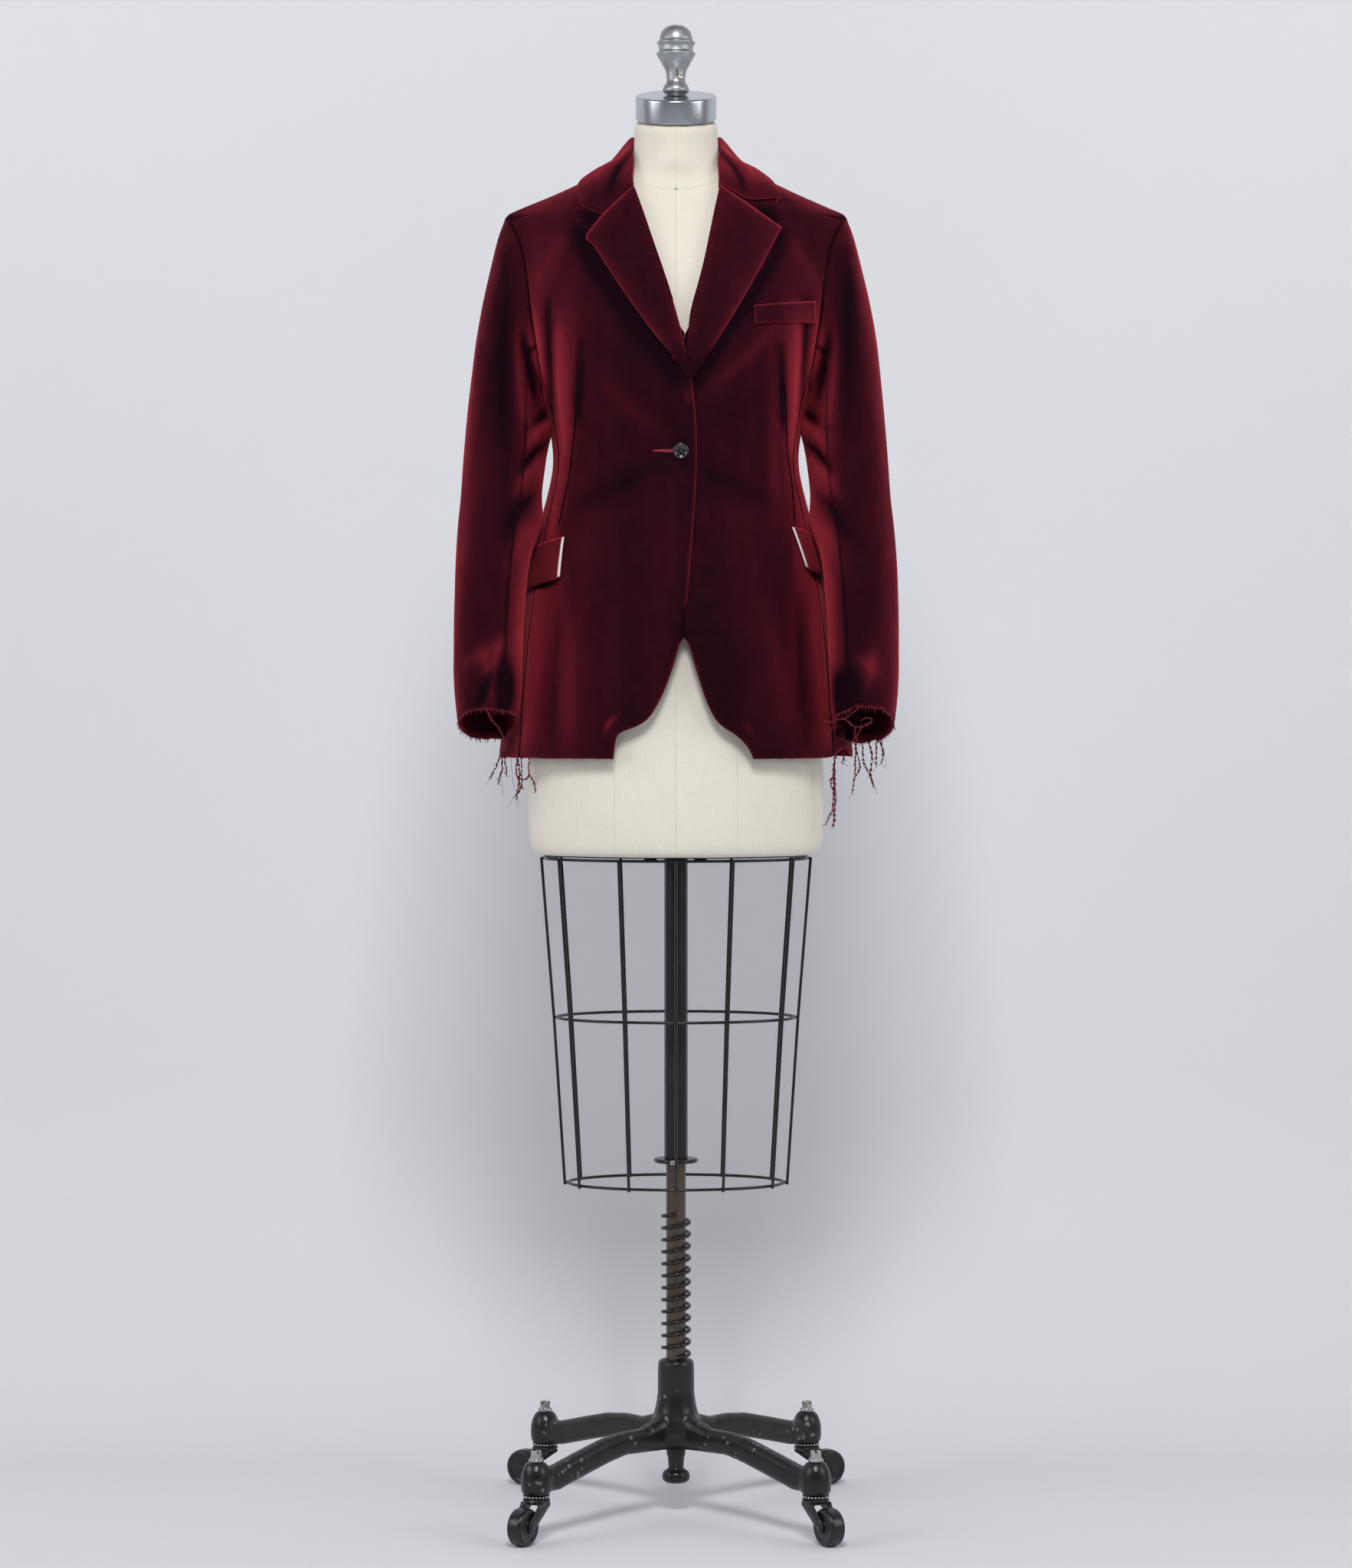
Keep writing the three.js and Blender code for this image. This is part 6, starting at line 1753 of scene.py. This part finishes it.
# ------------------------------------------------------------------------------ the stand
@dataclass
class Stand:
    """Mast, clamp, rod and spring over a four-legged iron casting."""

    tube: tuple = (14.0, 12.1, 424.0, 788.3)
    ring: tuple = (14.3, 26.5, 422.0, 427.0)
    screw_x: float = -4.0
    rod: tuple = (11.7, 84.0, 700.0)
    spring: tuple = (2.25, 16.0, 188.6, 361.0, 12)
    foot: tuple = (
        (0.0, 37.0, 0), (11.5, 37.0, 3), (16.4, 41.0, 3), (16.8, 46.0, 3), (15.0, 51.0, 2.5), (10.6, 53.2, 2),
        (8.8, 56.0, 0.8), (9.6, 57.4, 0.6), (8.9, 58.8, 0.6), (9.8, 60.4, 0.6), (9.1, 61.8, 0.6), (10.0, 63.4, 0.6),
        (9.3, 64.8, 0.6), (10.3, 66.4, 0.6), (9.8, 68.0, 0.6), (10.8, 69.8, 0.8), (11.7, 76.0, 1.0), (11.7, 83.7, 0),
        (0.0, 83.7, 0),
    )
    voxel: float = 2.3
    reach: Pair = (162.0, 173.0)
    nut: tuple = (9.0, 93.3, 106.0)

    def build(self, finishes: Finishes) -> None:
        """Makes the mast's and the stand's pieces."""
        outer, inner, low, top = self.tube
        profile = Bench.rounded_profile([(inner, low + 1, 0), (inner + 0.3, low, 0.3), (outer - 0.3, low, 0.4),
                                         (outer, low + 1, 0.6), (outer, top - 1, 0.4), (outer - 0.4, top, 0.3),
                                         (inner, top, 0), (inner, low + 1, 0)])
        self._turned("mast_enamelled", profile, 72, finishes.tube, "form", "black_enamel", "mast_tube")
        inner, outer, low, top = self.ring
        profile = Bench.rounded_profile([(inner, low + 1, 0), (inner + 0.4, low, 0.3), (outer - 1, low, 1.0),
                                         (outer, low + 2.5, 1.6), (outer - 1, top, 1.0), (inner + 0.4, top, 0.4),
                                         (inner, top - 1, 0), (inner, low + 1, 0)])
        self._turned("clamp_collar", profile, 72, finishes.tube, "form", "black_enamel", "clamp_ring")
        self._screw(finishes)
        radius, low, top = self.rod
        profile = Bench.rounded_profile([(0.0, low, 0), (radius - 0.4, low, 0.3), (radius, low + 1, 0.5),
                                         (radius, top - 1.5, 1.2), (radius - 1.4, top, 1.0), (0.0, top, 0)])
        self._turned("rod_drawn", profile, 64, finishes.rod, "post", "aged_steel", "rod")
        self._turned("rod_foot_turned", Bench.rounded_profile(list(self.foot)), 64, finishes.iron, "post",
                     "black_iron", "rod_foot")
        self._spring(finishes)
        self._casting(finishes)
        self._nuts(finishes)

    @staticmethod
    def _turned(name: str, profile: list[Pair], segments: int, material: bpy.types.Material, body: str, slot: str,
                node: str) -> None:
        """One turned piece on the pole's axis."""
        piece = Bench.from_bmesh(name, Bench.lathe(profile, segments), material)
        Bench.seat(piece, body, slot, node)

    def _screw(self, finishes: Finishes) -> None:
        """The clamp's round slotted screw head."""
        _inner, outer, low, top = self.ring
        head = Bench.rounded_profile([(0.0, 0.0, 0), (2.2, 0.0, 0.2), (2.4, 2.6, 0.2), (3.3, 2.9, 0.4),
                                      (3.3, 4.6, 1.0), (1.8, 6.0, 0.8), (0.0, 6.2, 0)])
        spot = Matrix.Translation(Vector((self.screw_x, -outer - 0.2, (low + top) / 2)) * MM)
        turn = Matrix.Rotation(math.radians(90), 4, "X")
        screw = Bench.from_bmesh("clamp_screw_head", Bench.lathe(head, 32, spot @ turn), finishes.chrome)
        Bench.seat(screw, "form", "chrome", "clamp_screw")

    def _spring(self, finishes: Finishes) -> None:
        """The coil spring, its end turns lying closer."""
        wire, mean, low, top, turns = self.spring
        steps = turns * 30
        line = []
        for k in range(steps + 1):
            t = k / steps
            turn = t * turns * 2 * math.pi - math.pi / 2
            line.append(Vector((mean * math.cos(turn), mean * math.sin(turn), low + (top - low) * t)) * MM)
        spring = Bench.wires("coil_spring", [line], wire, finishes.wire)
        Bench.seat(spring, "post", "black_enamel", "spring")

    def _casting(self, finishes: Finishes) -> None:
        """The iron hub, legs and sockets in one skin, with soft cast corners."""
        casting = Bench.from_bmesh("iron_casting", Bench.merged("stand_casting"), finishes.iron)
        skin = casting.modifiers.new("skin", "REMESH")
        skin.mode = "VOXEL"
        skin.voxel_size = self.voxel * MM
        skin.use_smooth_shade = True
        soft = casting.modifiers.new("soft", "SMOOTH")
        soft.factor = 0.5
        soft.iterations = 9
        Bench.applied(casting)
        Bench.smooth(casting.data)
        Bench.seat(casting, "stand", "black_iron", "stand_casting")

    def _nuts(self, finishes: Finishes) -> None:
        """Castellated stem ends on the four sockets."""
        radius, seat, top = self.nut
        for across, x in (("right", -1), ("left", 1)):
            for along, y in (("front", -1), ("rear", 1)):
                profile = Bench.rounded_profile([
                    (0.0, seat, 0), (radius - 0.6, seat, 0.5), (radius, seat + 1.4, 0.8), (radius - 0.4, seat + 3.4, 0.8),
                    (6.4, seat + 4.4, 0.8), (6.2, top - 4.2, 0.3), (6.2, top - 3.8, 0)])
                profile += [(3.6, top - 3.8), (3.2, top - 5.2), (0.0, top - 5.2)]
                bm = Bench.lathe(profile, 36)
                crown = [f for f in bm.faces if abs(f.calc_center_median().z - (top - 3.8) * MM) < 1e-5]
                crown.sort(key=lambda f: math.atan2(f.calc_center_median().y, f.calc_center_median().x))
                teeth = [f for i, f in enumerate(crown) if i % 9 < 6]
                grown = bmesh.ops.extrude_face_region(bm, geom=teeth)["geom"]
                raised = [v for v in grown if isinstance(v, bmesh.types.BMVert)]
                bmesh.ops.translate(bm, verts=raised, vec=(0, 0, 3.8 * MM))
                bmesh.ops.delete(bm, geom=teeth, context="FACES")
                spot = Matrix.Translation(Vector((x * self.reach[0], y * self.reach[1], 0)) * MM)
                bmesh.ops.transform(bm, matrix=spot @ Matrix.Rotation(0.6 * x + 0.3 * y, 4, "Z"), verts=bm.verts)
                bmesh.ops.recalc_face_normals(bm, faces=bm.faces)
                nut = Bench.from_bmesh(f"castle_nut_{along}_{across}", bm, finishes.chrome, False)
                edge = nut.modifiers.new("edge", "BEVEL")
                edge.width = 0.35 * MM
                edge.segments = 2
                Bench.seat(nut, "stand", "chrome", f"stem_nut_{along}_{across}")


class Corner(Enum):
    """The four casters: which way each lies from the pole and how its wheel trails, in degrees."""

    FRONT_RIGHT = ("front_right", -1, -1, 239.6)
    FRONT_LEFT = ("front_left", 1, -1, -59.6)
    REAR_RIGHT = ("rear_right", -1, 1, 152.0)
    REAR_LEFT = ("rear_left", 1, 1, 28.0)


@dataclass
class Caster:
    """One swivelling fork with its beaded race and a wheel."""

    corner: Corner
    reach: Pair = (162.0, 173.0)
    trail: float = 29.0
    axle: float = 22.0
    race: float = 16.0
    race_low: float = 46.6
    race_top: float = 54.7
    gap: float = 10.5
    cheek: float = 2.6
    beads: int = 22

    def build(self, finishes: Finishes) -> None:
        """Makes the fork and the wheel."""
        name, x, y, yaw = self.corner.value
        place = (Matrix.Translation(Vector((x * self.reach[0], y * self.reach[1], 0)) * MM)
                 @ Matrix.Rotation(math.radians(yaw), 4, "Z"))
        parts = [self._race(), *self._cheeks(), self._axle()]
        fork = bmesh.new()
        for part in parts:
            mesh = bpy.data.meshes.new("part")
            part.to_mesh(mesh)
            part.free()
            fork.from_mesh(mesh)
            bpy.data.meshes.remove(mesh)
        bmesh.ops.transform(fork, matrix=place, verts=fork.verts)
        piece = Bench.from_bmesh(f"fork_{name}", fork, finishes.iron)
        Bench.seat(piece, f"swivel_{name}", "black_iron", f"caster_fork_{name}")
        beads = bmesh.new()
        for k in range(self.beads):
            turn = 2 * math.pi * k / self.beads
            spot = Vector((14.6 * math.cos(turn), 14.6 * math.sin(turn), self.race_top - 1.2)) * MM
            bmesh.ops.create_uvsphere(beads, u_segments=8, v_segments=6, radius=1.5 * MM,
                                      matrix=Matrix.Translation(spot))
        bmesh.ops.transform(beads, matrix=place, verts=beads.verts)
        Bench.seat(Bench.from_bmesh(f"race_beads_{name}", beads, finishes.chrome), f"swivel_{name}", "chrome")
        wheel = self._wheel(place)
        Bench.seat(Bench.from_bmesh(f"wheel_turned_{name}", wheel, finishes.rubber), f"wheel_{name}",
                   "caster_rubber", f"caster_wheel_{name}")

    def _race(self) -> bmesh.types.BMesh:
        """Race, yoke boss and stem, turned about the swivel."""
        low, top, r = self.race_low, self.race_top, self.race
        return Bench.lathe(Bench.rounded_profile([
            (0.0, low - 1.0, 0), (11.0, low - 1.0, 0.8), (r - 1, low + 0.3, 1.0), (r, low + 2.2, 0.8),
            (r - 0.6, low + 3.8, 0.4), (r - 2.6, low + 4.4, 0.4), (r - 2.8, top - 2.6, 0.3), (r - 0.8, top - 1.9, 0.3),
            (r - 0.8, top - 0.4, 0.5), (5.0, top, 0.4), (5.0, 88.6, 0.5), (0.0, 89.0, 0)]), 40)

    def _cheeks(self) -> list[bmesh.types.BMesh]:
        """The two flat side plates and the yoke that joins them."""
        outline = [(-10.0, self.race_low + 1.0), (-10.6, self.race_low - 4.0)]
        for k in range(9):
            turn = math.radians(205 + k * 21)
            outline.append((self.trail + 6.4 * math.cos(turn), self.axle + 6.4 * math.sin(turn)))
        outline += [(self.trail + 5.0, self.axle + 5.4), (14.6, self.race_low - 3.0), (13.0, self.race_low + 1.0)]
        plates = []
        for way in (-1, 1):
            bm = bmesh.new()
            near = self.gap * way if way > 0 else -(self.gap + self.cheek)
            verts = [bm.verts.new(Vector((x, near, z)) * MM) for x, z in outline]
            face = bm.faces.new(verts)
            grown = bmesh.ops.extrude_face_region(bm, geom=[face])["geom"]
            bmesh.ops.translate(bm, vec=(0, self.cheek * MM, 0),
                                verts=[v for v in grown if isinstance(v, bmesh.types.BMVert)])
            bmesh.ops.recalc_face_normals(bm, faces=bm.faces)
            rims = [e for e in bm.edges if abs(e.verts[0].co.y - e.verts[1].co.y) < 1e-6]
            bmesh.ops.bevel(bm, geom=rims, offset=0.5 * MM, segments=2, profile=0.5, affect="EDGES", material=-1)
            plates.append(bm)
        yoke = bmesh.new()
        size = Matrix.Diagonal((23.0 * MM, 2 * (self.gap + self.cheek) * MM, 2.6 * MM, 1.0))
        spot = Matrix.Translation(Vector((1.5, 0, self.race_low - 0.3)) * MM)
        bmesh.ops.create_cube(yoke, size=1.0, matrix=spot @ size)
        bmesh.ops.bevel(yoke, geom=yoke.edges, offset=0.7 * MM, segments=2, profile=0.5, affect="EDGES", material=-1)
        return [*plates, yoke]

    def _axle(self) -> bmesh.types.BMesh:
        """The riveted axle with domed heads."""
        half = self.gap + self.cheek
        head = [(0.0, half + 1.5, 0), (2.6, half + 1.4, 1.0), (4.1, half + 0.4, 0.5), (4.1, half, 0.2), (3.0, half, 0)]
        tail = [(r, -z, soft) for r, z, soft in reversed(head)]
        profile = Bench.rounded_profile([*head, *tail])
        turn = Matrix.Translation(Vector((self.trail, 0, self.axle)) * MM) @ Matrix.Rotation(math.pi / 2, 4, "X")
        return Bench.lathe(profile, 28, turn)

    def _wheel(self, place: Matrix) -> bmesh.types.BMesh:
        """The wheel with its rounded tread, recessed side and hub boss."""
        side = [(3.4, 9.9, 0), (7.6, 9.9, 0.5), (8.4, 8.9, 0.5), (14.6, 8.5, 0.6), (16.0, 9.3, 0.6), (19.0, 9.9, 1.4),
                (21.6, 7.6, 2.2), (22.0, 4.0, 1.5)]
        other = [(r, -z, soft) for r, z, soft in reversed(side)]
        profile = Bench.rounded_profile([*side, *other])
        profile.append(profile[0])
        turn = Matrix.Translation(Vector((self.trail, 0, self.axle)) * MM) @ Matrix.Rotation(math.pi / 2, 4, "X")
        return Bench.lathe(profile, 56, place @ turn)


# ------------------------------------------------------------------------------ the studio
@dataclass
class Room:
    """Pale seamless backdrop, soft lights and the camera."""

    camera_away: float = 5.2
    camera_height: float = 1.006
    pitch: float = 1.446
    lens: float = 100.0
    sensor: float = 36.0
    wall_at: float = 0.78
    half_width: float = 5.0
    front_reach: float = 5.5
    curve: float = 0.45
    height: float = 4.0

    def build(self, paint: bpy.types.Material) -> None:
        """Makes the camera, the backdrop and the lights."""
        self._camera()
        self._backdrop(paint)
        self._light("key", (0.0, -3.4, 3.7), (0.0, 0.0, 1.15), 1.15, 116.0)
        self._light("side_left", (-3.0, -1.6, 1.9), (0.0, 0.0, 1.1), 1.8, 30.0)
        self._light("side_right", (3.0, -1.6, 1.9), (0.0, 0.0, 1.1), 1.8, 30.0)
        self._world(0.31)
        bpy.context.scene.view_settings.view_transform = "Standard"

    def _camera(self) -> None:
        """Adds the camera."""
        data = bpy.data.cameras.new("camera")
        data.lens = self.lens
        data.sensor_fit = "VERTICAL"
        data.sensor_height = self.sensor
        camera = bpy.data.objects.new("camera", data)
        camera.location = (0, -self.camera_away, self.camera_height)
        camera.rotation_euler = (math.radians(90 - self.pitch), 0, 0)
        bpy.context.scene.collection.objects.link(camera)
        bpy.context.scene.camera = camera

    def _backdrop(self, paint: bpy.types.Material) -> None:
        """A floor that curves up into a wall behind the object."""
        bm = bmesh.new()
        steps = 16
        line = [(-self.front_reach, 0.0), (self.wall_at - self.curve, 0.0)]
        for i in range(1, steps + 1):
            turn = i / steps * math.pi / 2
            line.append((self.wall_at - self.curve + self.curve * math.sin(turn),
                         self.curve * (1 - math.cos(turn))))
        line.append((self.wall_at, self.height))
        verts = [bm.verts.new((-self.half_width, y, z)) for y, z in line]
        edges = [bm.edges.new(pair) for pair in zip(verts, verts[1:])]
        grown = bmesh.ops.extrude_edge_only(bm, edges=edges)["geom"]
        moved = [v for v in grown if isinstance(v, bmesh.types.BMVert)]
        bmesh.ops.translate(bm, verts=moved, vec=(2 * self.half_width, 0, 0))
        bmesh.ops.recalc_face_normals(bm, faces=bm.faces)
        if sum(face.normal.z for face in bm.faces) < 0:
            bmesh.ops.reverse_faces(bm, faces=bm.faces)
        backdrop = Bench.from_bmesh("backdrop", bm, paint)

    @staticmethod
    def _light(name: str, place: tuple, target: tuple, size: float, power: float) -> None:
        """Adds one soft square light that looks at a target."""
        data = bpy.data.lights.new(name, "AREA")
        data.shape = "SQUARE"
        data.size = size
        data.energy = power
        lamp = bpy.data.objects.new(name, data)
        lamp.location = place
        way = Vector(target) - Vector(place)
        lamp.rotation_euler = way.to_track_quat("-Z", "Y").to_euler()
        bpy.context.scene.collection.objects.link(lamp)

    @staticmethod
    def _world(strength: float) -> None:
        """Soft fill light, darker from in front and below so that metal and enamel keep their contrast."""
        world = bpy.data.worlds.new("fill")
        world.use_nodes = True
        tree = world.node_tree
        background = tree.nodes["Background"]
        background.inputs["Strength"].default_value = strength
        where = tree.nodes.new("ShaderNodeTexCoord")
        split = tree.nodes.new("ShaderNodeSeparateXYZ")
        ramp = tree.nodes.new("ShaderNodeValToRGB")
        ramp.color_ramp.elements[0].position = 0.12
        ramp.color_ramp.elements[0].color = (0.20, 0.21, 0.23, 1.0)
        ramp.color_ramp.elements[1].position = 0.62
        ramp.color_ramp.elements[1].color = (1.0, 1.0, 1.0, 1.0)
        size = tree.nodes.new("ShaderNodeMath")
        size.operation = "ABSOLUTE"
        tree.links.new(where.outputs["Generated"], split.inputs[0])
        tree.links.new(split.outputs["X"], size.inputs[0])
        tree.links.new(size.outputs[0], ramp.inputs[0])
        tree.links.new(ramp.outputs[0], background.inputs["Color"])
        bpy.context.scene.world = world


def main() -> None:
    """Builds the room and the object, logging the faces of each piece."""
    logging.basicConfig(level=logging.INFO, format="%(name)s %(message)s")
    finishes = Finishes()
    Room().build(Studio().make())
    Jacket(finishes).build()
    Form().build(finishes)
    Stand().build(finishes)
    for corner in Corner:
        Caster(corner).build(finishes)


if __name__ == "__main__":
    main()
